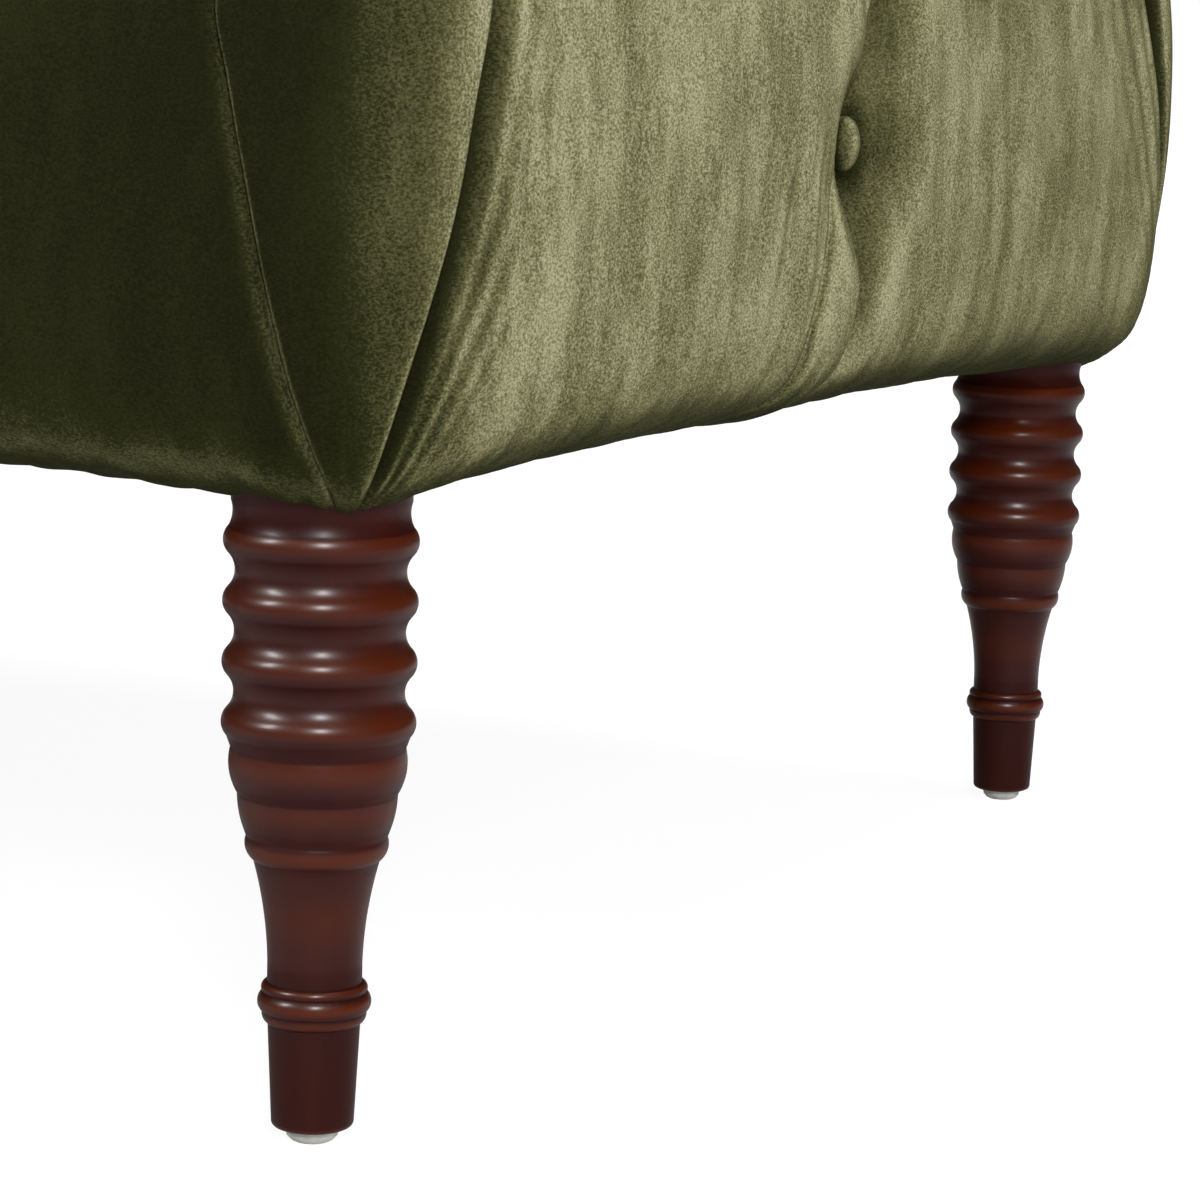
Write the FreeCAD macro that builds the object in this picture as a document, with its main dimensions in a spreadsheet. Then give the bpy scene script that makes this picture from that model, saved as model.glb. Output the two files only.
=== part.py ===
import FreeCAD, Part
import math
import os
from FreeCAD import Placement, Rotation, Vector

# Deep-buttoned chaise longue. +Z is up, the foot end faces -Y, the scrolled back stands at +Y.
# The origin is on the floor under the middle of the overall box. All sizes are millimetres.
drivingSizes = [
    # overall
    ("overall_length", 1560.0),
    ("body_width", 710.0),
    ("back_height", 853.0),
    ("seat_height", 433.0),
    ("leg_height", 200.0),
    ("leg_inset", 57.0),
    # seat cover, with its wadding
    ("cover_thickness", 20.0),
    ("cover_corner_radius", 60.0),
    ("cover_top_radius", 52.0),
    ("cover_under_radius", 28.0),
    ("cover_crown", 8.0),
    ("cover_top_thickness", 30.0),
    ("cover_hem", 2.0),
    ("hem_width", 74.0),
    ("pad_thickness", 6.0),
    ("dust_cover_thickness", 1.2),
    ("dust_cover_inset", 42.0),
    ("cloth_clearance", 0.3),
    # tufting
    ("tuft_pitch", 190.0),
    ("tuft_row_spacing", 95.0),
    ("tuft_edge", 62.0),
    ("low_button_height", 289.0),
    ("pleat_depth", 12.0),
    ("corner_pleat_waist", 42.0),
    ("roll_channel_radius", 7.2),
    ("dimple_depth", 15.0),
    ("button_radius", 9.5),
    ("button_thickness", 6.5),
    ("button_rim", 2.2),
    ("button_seat_clearance", 2.0),
    # timber frame
    ("rail_thickness", 20.0),
    ("rail_height", 143.0),
    ("rail_corner_cut", 14.0),
    ("cross_rail_height", 110.0),
    ("corner_block_side", 105.0),
    ("corner_block_height", 42.0),
    ("dowel_radius", 5.0),
    ("dowel_length", 46.0),
    ("dowel_depth_in_side", 10.0),
    ("dowel_inset", 35.0),
    ("screw_radius", 2.4),
    ("screw_head_radius", 4.6),
    ("screw_head_height", 3.0),
    ("screw_bite", 14.0),
    ("screw_offset", 65.0),
    ("screw_seat_depth", 24.0),
    ("fit_clearance", 0.05),
    # turned legs
    ("leg_top_radius", 26.2),
    ("leg_top_band", 15.2),
    ("bead_radius", 28.3),
    ("cove_radius", 24.8),
    ("bead_pitch", 17.7),
    ("barrel_radius", 26.0),
    ("barrel_foot_radius", 23.4),
    ("barrel_height", 13.5),
    ("barrel_shoulder", 0.5),
    ("barrel_swell", 0.6),
    ("lower_barrel_foot_radius", 20.6),
    ("lower_barrel_height", 12.7),
    ("ring_radius", 21.0),
    ("ring_foot_radius", 18.5),
    ("ring_height", 7.0),
    ("neck_radius", 13.9),
    ("collar_radius", 16.7),
    ("collar_height", 12.4),
    ("collar_step", 0.3),
    ("collar_fillet", 0.1),
    ("foot_top_radius", 13.6),
    ("foot_base_radius", 12.2),
    ("foot_length", 31.3),
    ("foot_edge_radius", 1.8),
    ("glide_radius", 8.0),
    ("glide_foot_radius", 5.8),
    ("glide_height", 4.4),
    ("glide_nail_radius", 1.3),
    ("glide_nail_length", 14.0),
    ("bolt_radius", 4.0),
    ("bolt_length_in_leg", 34.0),
    ("tee_nut_barrel_radius", 5.2),
    ("tee_nut_barrel_length", 13.0),
    ("tee_nut_flange_radius", 9.5),
    ("tee_nut_flange_height", 1.6),
    # seat suspension
    ("spring_wire_radius", 1.9),
    ("spring_bend_radius", 11.0),
    ("spring_leg", 22.0),
    ("spring_spacing", 150.0),
    ("clip_length", 14.0),
    ("clip_width", 20.0),
    ("clip_height", 8.0),
    ("deck_thickness", 1.5),
    # scrolled back
    ("roll_radius", 90.0),
    ("roll_overhang", 125.0),
    ("back_rake", 24.0),
    ("back_cover_thickness", 21.0),
    ("back_foam_thickness", 44.0),
    ("facing_thickness", 17.0),
    ("welt_radius", 4.0),
    ("outside_panel_thickness", 12.0),
    ("back_rail_depth", 32.0),
    ("back_rail_height", 58.0),
    ("back_lower_rail_rise", 48.0),
    ("strap_width", 55.0),
    ("strap_thickness", 1.8),
]

doc = FreeCAD.newDocument("chaise_longue")
sheet = doc.addObject("Spreadsheet::Sheet", "Sizes")
for row, (alias, value) in enumerate(drivingSizes, 1):
    sheet.set("A%d" % row, alias)
    sheet.set("B%d" % row, str(value))
    sheet.setAlias("B%d" % row, alias)
doc.recompute()

nodes = []
X, Y, Z = Vector(1, 0, 0), Vector(0, 1, 0), Vector(0, 0, 1)
sides = (("left", -1), ("right", 1))


def size(alias):
    return float(sheet.get(alias))


def bind(thing, **expressions):
    for prop, text in expressions.items():
        thing.setExpression(prop, text)
    return thing


def keep(thing, label):
    thing.Label = label
    nodes.append(thing)
    return thing


def box(label, corner, length, width, height):
    block = doc.addObject("Part::Box", label)
    block.Placement = Placement(corner, Rotation())
    return bind(block, Length=length, Width=width, Height=height)


def rod(label, start, direction, radius, height):
    cylinder = doc.addObject("Part::Cylinder", label)
    cylinder.Placement = Placement(start, Rotation(Z, direction))
    return bind(cylinder, Radius=radius, Height=height)


def group(label, members):
    together = doc.addObject("Part::Compound", label)
    together.Links = members
    return together


def cut(label, base, tools):
    carved = doc.addObject("Part::Cut", label)
    carved.Base = base
    if len(tools) == 1:
        carved.Tool = tools[0]
        return carved
    carved.Tool = doc.addObject("Part::MultiFuse", label + "_tools")
    carved.Tool.Shapes = tools
    return carved


def solid(label, shape):
    thing = doc.addObject("Part::Feature", label)
    thing.Shape = shape
    return thing


def outline(points):
    # A closed wire from corner points; a triple of points in the list is an arc through them.
    edges = []
    last = None
    for item in points:
        start, end = (item[0], item[2]) if isinstance(item, tuple) else (item, item)
        if last is not None and last.distanceToPoint(start) > 1e-6:
            edges.append(Part.LineSegment(last, start).toShape())
        if isinstance(item, tuple):
            edges.append(Part.Arc(*item).toShape())
        last = end
    first = points[0][0] if isinstance(points[0], tuple) else points[0]
    if last.distanceToPoint(first) > 1e-6:
        edges.append(Part.LineSegment(last, first).toShape())
    return Part.Wire(edges)


def extruded(points, direction):
    return Part.Face(outline(points)).extrude(direction)


def profile_body(label, plane, geometry):
    body = doc.addObject("PartDesign::Body", label)
    sketch = body.newObject("Sketcher::SketchObject", label + "_profile")
    support = [f for f in body.Origin.OriginFeatures if f.Role == plane][0]
    sketch.AttachmentSupport = [(support, "")]
    sketch.MapMode = "FlatFace"
    sketch.addGeometry(geometry, False)
    return body, sketch


def closed_lines(corners):
    points = [Vector(u, v, 0) for u, v in corners]
    return [Part.LineSegment(a, b) for a, b in zip(points, points[1:] + points[:1])]


def padded_body(label, plane, geometry, length, reverse=False):
    body, sketch = profile_body(label, plane, geometry)
    pad = body.newObject("PartDesign::Pad", label + "_pad")
    pad.Profile = sketch
    pad.Reversed = reverse
    bind(pad, Length=length)
    return body


def turned_body(label, geometry):
    body, sketch = profile_body(label, "XZ_Plane", geometry)
    turning = body.newObject("PartDesign::Revolution", label + "_turning")
    turning.Profile = sketch
    turning.ReferenceAxis = (sketch, ["V_Axis"])
    turning.Angle = 360.0
    return body


# Planes that the pieces share.
half = size("body_width") / 2
footY = -size("overall_length") / 2
rearY = size("overall_length") / 2 - size("roll_overhang")
frameHalf = half - size("cover_thickness") - size("pad_thickness")
frameFoot = footY + size("cover_thickness") + size("pad_thickness")
frameRear = rearY - size("outside_panel_thickness")
innerHalf = frameHalf - size("rail_thickness")
frameFloor = size("leg_height")
railTop = frameFloor + size("rail_height")
legX = half - size("leg_inset")
legFootY = footY + size("leg_inset")
legHeadY = frameRear - size("leg_inset") + size("cover_thickness") + size("pad_thickness")
deckFloor = railTop + size("clip_height")
deckTop = deckFloor + size("deck_thickness")
cavityTop = size("seat_height") - size("cover_top_thickness")
clothClearance = size("cloth_clearance")
clearance = size("fit_clearance")
frameSpan = "Sizes.body_width - 2*(Sizes.cover_thickness + Sizes.pad_thickness)"
innerSpan = "(%s - 2*Sizes.rail_thickness)" % frameSpan
holes = {}
dowels = []
screws = []


def hole(label, start, direction, radius, height):
    tool = rod("bore_%d" % sum(len(h) for h in holes.values()), start, direction, radius, height)
    holes.setdefault(label, []).append(tool)


def dowel(start, direction, first, second):
    # A dowel starts blind in the first piece and runs on into the second.
    number = len(dowels)
    dowels.append(rod("dowel_%d" % number, start, direction, "Sizes.dowel_radius", "Sizes.dowel_length"))
    for piece in (first, second):
        hole(piece, start, direction, "Sizes.dowel_radius + Sizes.fit_clearance", "Sizes.dowel_length")


def drilled(label, blank):
    if label not in holes:
        return keep(blank, label)
    blank.Label = label + "_blank"
    return keep(cut(label, blank, holes[label]), label)


# Long rails, foot and head rails and two cross rails, dowelled at every corner.
crossRails = ("cross_rail_front", "cross_rail_rear")
frameLength = frameRear - frameFoot
crossY = [frameFoot + frameLength * third / 3 - size("rail_thickness") / 2 for third in (1, 2)]
crossers = [("foot_rail", frameFoot), ("head_rail", frameRear - size("rail_thickness"))]
crossers += list(zip(crossRails, crossY))
for name, y in crossers:
    height = size("cross_rail_height") if name in crossRails else size("rail_height")
    for sideName, side in sides:
        for z in (size("dowel_inset"), height - size("dowel_inset")):
            inSide = innerHalf + size("dowel_depth_in_side")
            start = Vector(side * inSide, y + size("rail_thickness") / 2, frameFloor + z)
            dowel(start, Vector(-side, 0, 0), "side_rail_" + sideName, name)

# Corner blocks: right triangles that take the leg's bolt, with a screw into each rail.
blockReach = size("corner_block_side")
screwReach = size("screw_offset")
screwSeat = size("screw_seat_depth")
screwLevels = (size("corner_block_height") * 0.3, size("corner_block_height") * 0.7)
screwRun = "Sizes.screw_seat_depth + Sizes.screw_bite"
blocks = []
for endName, cornerY, along, legY in (("foot", frameFoot + size("rail_thickness"), 1, legFootY),
                                      ("head", frameRear - size("rail_thickness"), -1, legHeadY)):
    for sideName, side in sides:
        corner = Vector(side * innerHalf, cornerY, frameFloor)
        blocks.append((endName + "_" + sideName, sideName, side, along, corner, legY))

for name, sideName, side, along, corner, legY in blocks:
    block = "corner_block_" + name
    endRail = "foot_rail" if along > 0 else "head_rail"
    ways = ((Vector(side, 0, 0), Vector(0, along * screwReach, screwLevels[0]), "side_rail_" + sideName),
            (Vector(0, -along, 0), Vector(-side * screwReach, 0, screwLevels[1]), endRail))
    for direction, offset, rail in ways:
        seat = corner + offset - direction * screwSeat
        length = screwSeat + size("screw_bite")
        shank = Part.makeCylinder(size("screw_radius"), length, seat, direction)
        head = Part.makeCylinder(size("screw_head_radius"), size("screw_head_height"), seat, direction)
        screws.append(shank.fuse(head))
        for piece in (rail, block):
            hole(piece, seat, direction, "Sizes.screw_radius + Sizes.fit_clearance", screwRun)
        hole(block, seat - direction * blockReach, direction,
             "Sizes.screw_head_radius + Sizes.fit_clearance",
             "Sizes.corner_block_side + Sizes.screw_head_height + Sizes.fit_clearance")
    hole(block, Vector(side * legX, legY, frameFloor), Z,
         "Sizes.tee_nut_barrel_radius + Sizes.fit_clearance", "Sizes.corner_block_height")

# The back's side view: a raked front, tangent to a roll at the top.
rake = math.radians(size("back_rake"))
upBack = Vector(0, math.sin(rake), math.cos(rake))
outFront = Vector(0, -math.cos(rake), math.sin(rake))
rollRadius = size("roll_radius")
rollCentre = Vector(0, size("overall_length") / 2 - rollRadius, size("back_height") - rollRadius)
facingFoot = cavityTop
foamBack = size("back_cover_thickness") + size("back_foam_thickness")
strapBack = foamBack + size("strap_thickness")
facingHalf = frameHalf + size("facing_thickness")


def behind_front(depth, height):
    # The point of the back at that depth behind its front face and that height.
    start = rollCentre + outFront * (rollRadius - depth)
    return start - upBack * ((start.z - height) / math.cos(rake))


def on_front(depth, drop):
    # The point at that depth behind the front face, and that far down it from the roll.
    return rollCentre + outFront * (rollRadius - depth) - upBack * drop


def on_roll(radius, degrees):
    angle = math.radians(degrees)
    return rollCentre + Vector(0, math.cos(angle), math.sin(angle)) * radius


rollRear = -25.0  # degrees, a place low on the roll's rear that its arcs are drawn through


def under_roll(radius, y):
    return Vector(0, y, rollCentre.z - math.sqrt(radius ** 2 - (rollCentre.y - y) ** 2))


rollInside = rollRadius - size("back_cover_thickness")
postReach = rollRadius - strapBack
postTop = rollCentre + outFront * postReach + upBack * math.sqrt(rollInside ** 2 - postReach ** 2)
postFoot = behind_front(strapBack, railTop)

# Back rails lie between the posts with their faces on the rake; straps run over them.
backRun = (behind_front(0, facingFoot) - on_front(0, 0)).Length
lowRailDrop = backRun - size("back_lower_rail_rise")
# The middle rail is halfway down, or low enough for its rear edge to clear the outside panel.
railRear = on_front(strapBack + size("back_rail_depth"), -size("back_rail_height") / 2)
panelDrop = (railRear.y - frameRear + clothClearance) / upBack.y
middleDrop = max(lowRailDrop / 2, panelDrop)
railDrops = (("back_top_rail", 0.0), ("back_middle_rail", middleDrop), ("back_lower_rail", lowRailDrop))
for name, drop in railDrops:
    centre = on_front(strapBack + size("back_rail_depth") / 2, drop)
    for sideName, side in sides:
        start = centre + Vector(side * (innerHalf + size("dowel_depth_in_side")), 0, 0)
        dowel(start, Vector(-side, 0, 0), "back_post_" + sideName, name)

for sideName, side in sides:
    for share in (0.25, 0.75):
        y = postFoot.y + (frameRear - postFoot.y) * share
        x = side * (frameHalf - size("rail_thickness") / 2)
        start = Vector(x, y, railTop - size("dowel_length") / 2)
        dowel(start, Z, "side_rail_" + sideName, "back_post_" + sideName)

cornerCut = size("rail_corner_cut")
for sideName, side in sides:
    plan = [(side * innerHalf, frameFoot), (side * (frameHalf - cornerCut), frameFoot),
            (side * frameHalf, frameFoot + cornerCut), (side * frameHalf, frameRear),
            (side * innerHalf, frameRear)]
    rail = padded_body("side_rail_" + sideName, "XY_Plane", closed_lines(plan), "Sizes.rail_height")
    rail.Placement = Placement(Vector(0, 0, frameFloor), Rotation())
    drilled("side_rail_" + sideName, rail)

for name, y in crossers:
    height = "Sizes.cross_rail_height" if name in crossRails else "Sizes.rail_height"
    corner = Vector(-innerHalf, y, frameFloor)
    drilled(name, box(name, corner, innerSpan, "Sizes.rail_thickness", height))

for name, sideName, side, along, corner, legY in blocks:
    plan = [(0, 0), (-side * blockReach, 0), (0, along * blockReach)]
    block = padded_body("corner_block_" + name, "XY_Plane", closed_lines(plan), "Sizes.corner_block_height")
    block.Placement = Placement(corner, Rotation())
    drilled("corner_block_" + name, block)

for sideName, side in sides:
    front, top, rear = postFoot, postTop, under_roll(rollInside, frameRear)
    edges = [Part.LineSegment(Vector(front.y, front.z, 0), Vector(top.y, top.z, 0)),
             Part.Arc(*[Vector(p.y, p.z, 0) for p in (top, on_roll(rollInside, rollRear), rear)]),
             Part.LineSegment(Vector(rear.y, rear.z, 0), Vector(frameRear, railTop, 0)),
             Part.LineSegment(Vector(frameRear, railTop, 0), Vector(front.y, front.z, 0))]
    post = padded_body("back_post_" + sideName, "YZ_Plane", edges, "Sizes.rail_thickness")
    post.Placement = Placement(Vector(innerHalf if side > 0 else -frameHalf, 0, 0), Rotation())
    drilled("back_post_" + sideName, post)

for name, drop in railDrops:
    rail = box(name, Vector(), innerSpan, "Sizes.back_rail_depth", "Sizes.back_rail_height")
    low = on_front(strapBack, drop + size("back_rail_height") / 2) - Vector(innerHalf, 0, 0)
    rail.Placement = Placement(low, Rotation(X, -size("back_rake")))
    drilled(name, rail)

keep(group("frame_dowels", dowels), "frame_dowels")
keep(solid("corner_block_screws", Part.makeCompound(screws)), "corner_block_screws")


# Turned legs: top band, four beads, two barrels, a ring, a hollow neck, a collar and a tapered foot.
def leg_profile():
    top = size("leg_height")
    base = size("glide_height")
    boreRadius = size("bolt_radius") + clearance
    nailRadius = size("glide_nail_radius") + clearance
    bead, cove, pitch = size("bead_radius"), size("cove_radius"), size("bead_pitch")
    middle = (bead + cove) / 2
    line = []
    z = top
    points = [Vector(boreRadius, z, 0), Vector(size("leg_top_radius"), z, 0)]
    z -= size("leg_top_band")
    points.append(Vector(size("leg_top_radius"), z, 0))
    z -= pitch / 8
    points.append(Vector(middle, z, 0))
    line += [Part.LineSegment(a, b) for a, b in zip(points, points[1:])]
    last = points[-1]

    def curve(radiusMid, zMid, radiusEnd, zEnd):
        nonlocal last
        end = Vector(radiusEnd, zEnd, 0)
        line.append(Part.Arc(last, Vector(radiusMid, zMid, 0), end))
        last = end

    def straight(radiusEnd, zEnd):
        nonlocal last
        end = Vector(radiusEnd, zEnd, 0)
        line.append(Part.LineSegment(last, end))
        last = end

    for number in range(4):
        curve(bead, z - pitch / 4, middle, z - pitch / 2)
        z -= pitch / 2
        if number < 3:
            curve(cove, z - pitch / 4, middle, z - pitch / 2)
            z -= pitch / 2
    barrel, barrelFoot = size("barrel_radius"), size("barrel_foot_radius")
    z -= pitch / 8
    straight(barrel - size("barrel_shoulder"), z)
    curve(barrel, z - size("barrel_height") * 0.35, barrelFoot, z - size("barrel_height"))
    z -= size("barrel_height")
    lowerFoot = size("lower_barrel_foot_radius")
    curve((barrelFoot + lowerFoot) / 2 + size("barrel_swell"), z - size("lower_barrel_height") * 0.52,
          lowerFoot, z - size("lower_barrel_height"))
    z -= size("lower_barrel_height")
    ring, ringFoot = size("ring_radius"), size("ring_foot_radius")
    curve(ring, z - size("ring_height") * 0.33, ringFoot, z - size("ring_height"))
    z -= size("ring_height")
    collarTop = base + size("foot_length") + size("collar_height")
    neck = size("neck_radius")
    neckWaist = collarTop + (z - collarTop) * 0.16
    curve(neck + (ringFoot - neck) * 0.29, neckWaist + (z - neckWaist) * 0.5, neck, neckWaist)
    straight(neck, collarTop)
    collar, collarHeight = size("collar_radius"), size("collar_height")
    step = (collar + neck) / 2
    curve(step + size("collar_step"), collarTop - collarHeight * 0.12, step, collarTop - collarHeight * 0.24)
    curve(collar, collarTop - collarHeight * 0.46, step, collarTop - collarHeight * 0.72)
    footTop = size("foot_top_radius")
    curve(step - size("collar_fillet"), collarTop - collarHeight * 0.86, footTop, collarTop - collarHeight)
    edge = size("foot_edge_radius")
    footBase = size("foot_base_radius")
    straight(footBase, base + edge)
    curve(footBase - edge * (1 - math.sqrt(0.5)), base + edge * (1 - math.sqrt(0.5)), footBase - edge, base)
    nailTop = base + size("glide_nail_length")
    boltFoot = top - size("bolt_length_in_leg")
    for radius, height in ((nailRadius, base), (nailRadius, nailTop), (0, nailTop), (0, boltFoot),
                           (boreRadius, boltFoot), (boreRadius, top)):
        straight(radius, height)
    return line


legs = [("foot_left", -1, legFootY), ("foot_right", 1, legFootY),
        ("head_left", -1, legHeadY), ("head_right", 1, legHeadY)]
bolts, teeNuts, glides = [], [], []
blockTop = frameFloor + size("corner_block_height")
for name, side, y in legs:
    leg = turned_body("leg_" + name, leg_profile())
    leg.Placement = Placement(Vector(side * legX, y, 0), Rotation())
    keep(leg, "leg_" + name)
    boltFoot = Vector(side * legX, y, frameFloor - size("bolt_length_in_leg"))
    bolts.append(rod("bolt_" + name, boltFoot, Z, "Sizes.bolt_radius",
                     "Sizes.bolt_length_in_leg + Sizes.corner_block_height"))
    flange = Vector(side * legX, y, blockTop)
    nutBody = Part.makeCylinder(size("tee_nut_flange_radius"), size("tee_nut_flange_height"), flange)
    barrel = Part.makeCylinder(size("tee_nut_barrel_radius"), size("tee_nut_barrel_length"),
                               flange - Z * size("tee_nut_barrel_length"))
    bore = Part.makeCylinder(size("bolt_radius") + clearance, size("corner_block_height"),
                             flange - Z * size("corner_block_height") / 2)
    teeNuts.append(nutBody.fuse(barrel).cut(bore))
    disc = Part.makeCone(size("glide_foot_radius"), size("glide_radius"), size("glide_height"),
                         Vector(side * legX, y, 0))
    nail = Part.makeCylinder(size("glide_nail_radius"), size("glide_nail_length"),
                             Vector(side * legX, y, size("glide_height")))
    glides.append(disc.fuse(nail))
keep(group("hanger_bolts", bolts), "hanger_bolts")
keep(solid("tee_nuts", Part.makeCompound(teeNuts)), "tee_nuts")
keep(solid("glides", Part.makeCompound(glides)), "glides")

# Sinuous springs across the seat, held in clips on the long rails.
springY = []
springEnd = postFoot.y
firstSpring = frameFoot + size("rail_thickness") + size("spring_leg") + 2 * size("spring_bend_radius")
count = int((springEnd - firstSpring - size("spring_spacing") / 3) // size("spring_spacing")) + 1
springZ = railTop + size("clip_height") / 2
bend = size("spring_bend_radius")
clipX = frameHalf - size("rail_thickness") / 2
turns = int(2 * clipX // (2 * bend))
legStep = 2 * clipX / turns
bendNow = legStep / 2
springs, clips = [], []
for number in range(count):
    y = firstSpring + number * size("spring_spacing")
    edges = []
    low, high = y - size("spring_leg") / 2, y + size("spring_leg") / 2
    for leg in range(turns + 1):
        x = -clipX + leg * legStep
        start, end = (low, high) if leg % 2 == 0 else (high, low)
        edges.append(Part.LineSegment(Vector(x, start, springZ), Vector(x, end, springZ)).toShape())
        if leg < turns:
            tip = end + bendNow if end == high else end - bendNow
            edges.append(Part.Arc(Vector(x, end, springZ), Vector(x + bendNow, tip, springZ),
                                  Vector(x + legStep, end, springZ)).toShape())
    path = Part.Wire(edges)
    ring = Part.Wire(Part.makeCircle(size("spring_wire_radius"), Vector(-clipX, low, springZ), Y))
    springs.append(path.makePipeShell([ring], True, False))
    for side in (-1, 1):
        corner = Vector(side * clipX - size("clip_length") / 2, y - size("clip_width") / 2, railTop)
        block = Part.makeBox(size("clip_length"), size("clip_width"), size("clip_height"), corner)
        eye = Part.makeCylinder(size("spring_wire_radius") + clearance, size("clip_width"),
                                Vector(side * clipX, y - size("clip_width") / 2, springZ), Y)
        clips.append(block.cut(eye))
keep(solid("seat_springs", Part.makeCompound(springs)), "seat_springs")
keep(solid("spring_clips", Part.makeCompound(clips)), "spring_clips")


# Seat padding and the buttoned seat cover, on one plan outline with rounded foot corners.
def plan_face(inset, rear, z):
    wide, foot = half - inset, footY + inset
    radius = size("cover_corner_radius") - inset
    quarter = radius * (1 - math.sqrt(0.5))
    return Part.Face(outline([
        Vector(-wide, rear, z),
        (Vector(-wide, foot + radius, z), Vector(-wide + quarter, foot + quarter, z),
         Vector(-wide + radius, foot, z)),
        (Vector(wide - radius, foot, z), Vector(wide - quarter, foot + quarter, z),
         Vector(wide, foot + radius, z)),
        Vector(wide, rear, z)]))


coverInside = size("cover_thickness")
deck = plan_face(coverInside, postFoot.y, deckFloor).extrude(Z * size("deck_thickness"))
keep(solid("seat_deck", deck), "seat_deck")
foam = plan_face(coverInside, postFoot.y, deckTop).extrude(Z * (cavityTop - deckTop))
keep(solid("seat_foam", foam), "seat_foam")

padFloor = frameFloor + size("cover_under_radius")
padHeight = "Sizes.rail_height + Sizes.clip_height - Sizes.cover_under_radius"
flatHalf = half - size("cover_corner_radius")
footPad = box("foot_pad", Vector(-flatHalf, footY + coverInside, padFloor),
              "Sizes.body_width - 2*Sizes.cover_corner_radius", "Sizes.pad_thickness", padHeight)
keep(footPad, "foot_pad")
for sideName, side in sides:
    x = frameHalf if side > 0 else -frameHalf - size("pad_thickness")
    padStart = footY + size("cover_corner_radius")
    pad = box("side_pad_" + sideName, Vector(x, padStart, padFloor), "Sizes.pad_thickness",
              "Sizes.overall_length - Sizes.roll_overhang - Sizes.outside_panel_thickness"
              " - Sizes.cover_corner_radius", padHeight)
    keep(pad, "side_pad_" + sideName)


# Pleats are V cuts along a line on a face; dimples are flat-bottomed cones with a button on the floor.
def pleat(start, end, outward):
    depth = size("pleat_depth")
    along = (end - start).normalize()
    across = along.cross(outward).normalize()
    apex = start - outward * depth
    ridge = start + outward * depth
    corners = [apex, ridge + across * depth, ridge - across * depth]
    return extruded(corners, end - start)


dimpleFloor = size("button_radius") + size("button_seat_clearance")


def dimple(centre, outward):
    depth = size("dimple_depth")
    return Part.makeCone(dimpleFloor, dimpleFloor + 2 * depth, 2 * depth, centre - outward * depth, outward)


def button(centre, outward):
    # A flat rim under a cap cut from a sphere.
    radius, rim = size("button_radius"), size("button_rim")
    rise = size("button_thickness") - rim
    ball = (radius ** 2 + rise ** 2) / (2 * rise)
    lift = math.degrees(math.asin((ball - rise) / ball))
    cap = Part.makeSphere(ball, Vector(0, 0, rim - (ball - rise)), Z, lift, 90, 360)
    covered = cap.fuse(Part.makeCylinder(radius, rim))
    covered.Placement = Placement(centre - outward * size("dimple_depth"), Rotation(Z, outward))
    return covered


def tuft_grid(rows):
    # Odd rows hold three buttons and even rows four, half a pitch apart.
    return {(column, row) for row in range(rows) for column in range(-3, 4) if (column + row) % 2 == 1}


def diagonal_pleats(grid, place, outward):
    cuts = []
    for slant in (1, -1):
        for column, row in sorted(grid):
            if (column - slant, row - 1) in grid:
                continue
            steps = 0
            while (column + slant * (steps + 1), row + steps + 1) in grid:
                steps += 1
            if steps:
                cuts.append(pleat(place(column, row), place(column + slant * steps, row + steps), outward))
    return cuts


halfPitch = size("tuft_pitch") / 2
crownDrop = size("cover_crown")
tuftLevel = size("seat_height") - crownDrop / 2
crease = behind_front(0, tuftLevel)
firstRow = footY + size("tuft_edge")
seatRows = int((crease.y - firstRow - size("tuft_edge")) // size("tuft_row_spacing")) + 1
seatGrid = tuft_grid(seatRows)


def seat_point(column, row):
    return Vector(column * halfPitch, firstRow + row * size("tuft_row_spacing"), tuftLevel)


outer = plan_face(0, frameRear, frameFloor - size("cover_hem")).extrude(
    Z * (size("seat_height") + 1 - frameFloor + size("cover_hem")))
shoulder = size("seat_height") - crownDrop
lid = size("seat_height") + 2 * crownDrop
crownReach = half + crownDrop
crownCut = extruded([
    (Vector(-crownReach, footY - 1, shoulder), Vector(0, footY - 1, size("seat_height")),
     Vector(crownReach, footY - 1, shoulder)),
    Vector(crownReach, footY - 1, lid), Vector(-crownReach, footY - 1, lid)], Y * (frameRear - footY + 2))
outer = outer.cut(crownCut)


def rim_edges(shape, lowest, highest):
    # The edges of the plan outline between two heights, apart from those of the open rear end.
    found = []
    for edge in shape.Edges:
        bounds = edge.BoundBox
        if bounds.ZMin > lowest and bounds.ZMax < highest and bounds.YMin < frameRear - 1:
            found.append(edge)
    return found


outer = outer.makeFillet(size("cover_top_radius"), rim_edges(outer, shoulder - 1, lid))
outer = outer.makeFillet(size("cover_under_radius"), rim_edges(outer, 0, frameFloor))
cavity = plan_face(coverInside, frameRear + 1, frameFloor).extrude(Z * (cavityTop - frameFloor))
hemWidth = size("hem_width")
hemOpening = Part.makeBox(2 * (half - hemWidth), frameRear - footY - hemWidth + 1, frameFloor,
                          Vector(hemWidth - half, footY + hemWidth, 0))
legHoles = [Part.makeCylinder(size("leg_top_radius") + clothClearance, frameFloor, Vector(side * legX, y, 0))
            for name, side, y in legs]
backRoom = extruded([
    behind_front(-clothClearance, facingFoot), behind_front(-clothClearance, lid),
    Vector(0, rearY, lid), Vector(0, rearY, facingFoot)], X * 2 * (facingHalf + clothClearance))
backRoom.translate(-X * (facingHalf + clothClearance))

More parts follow.
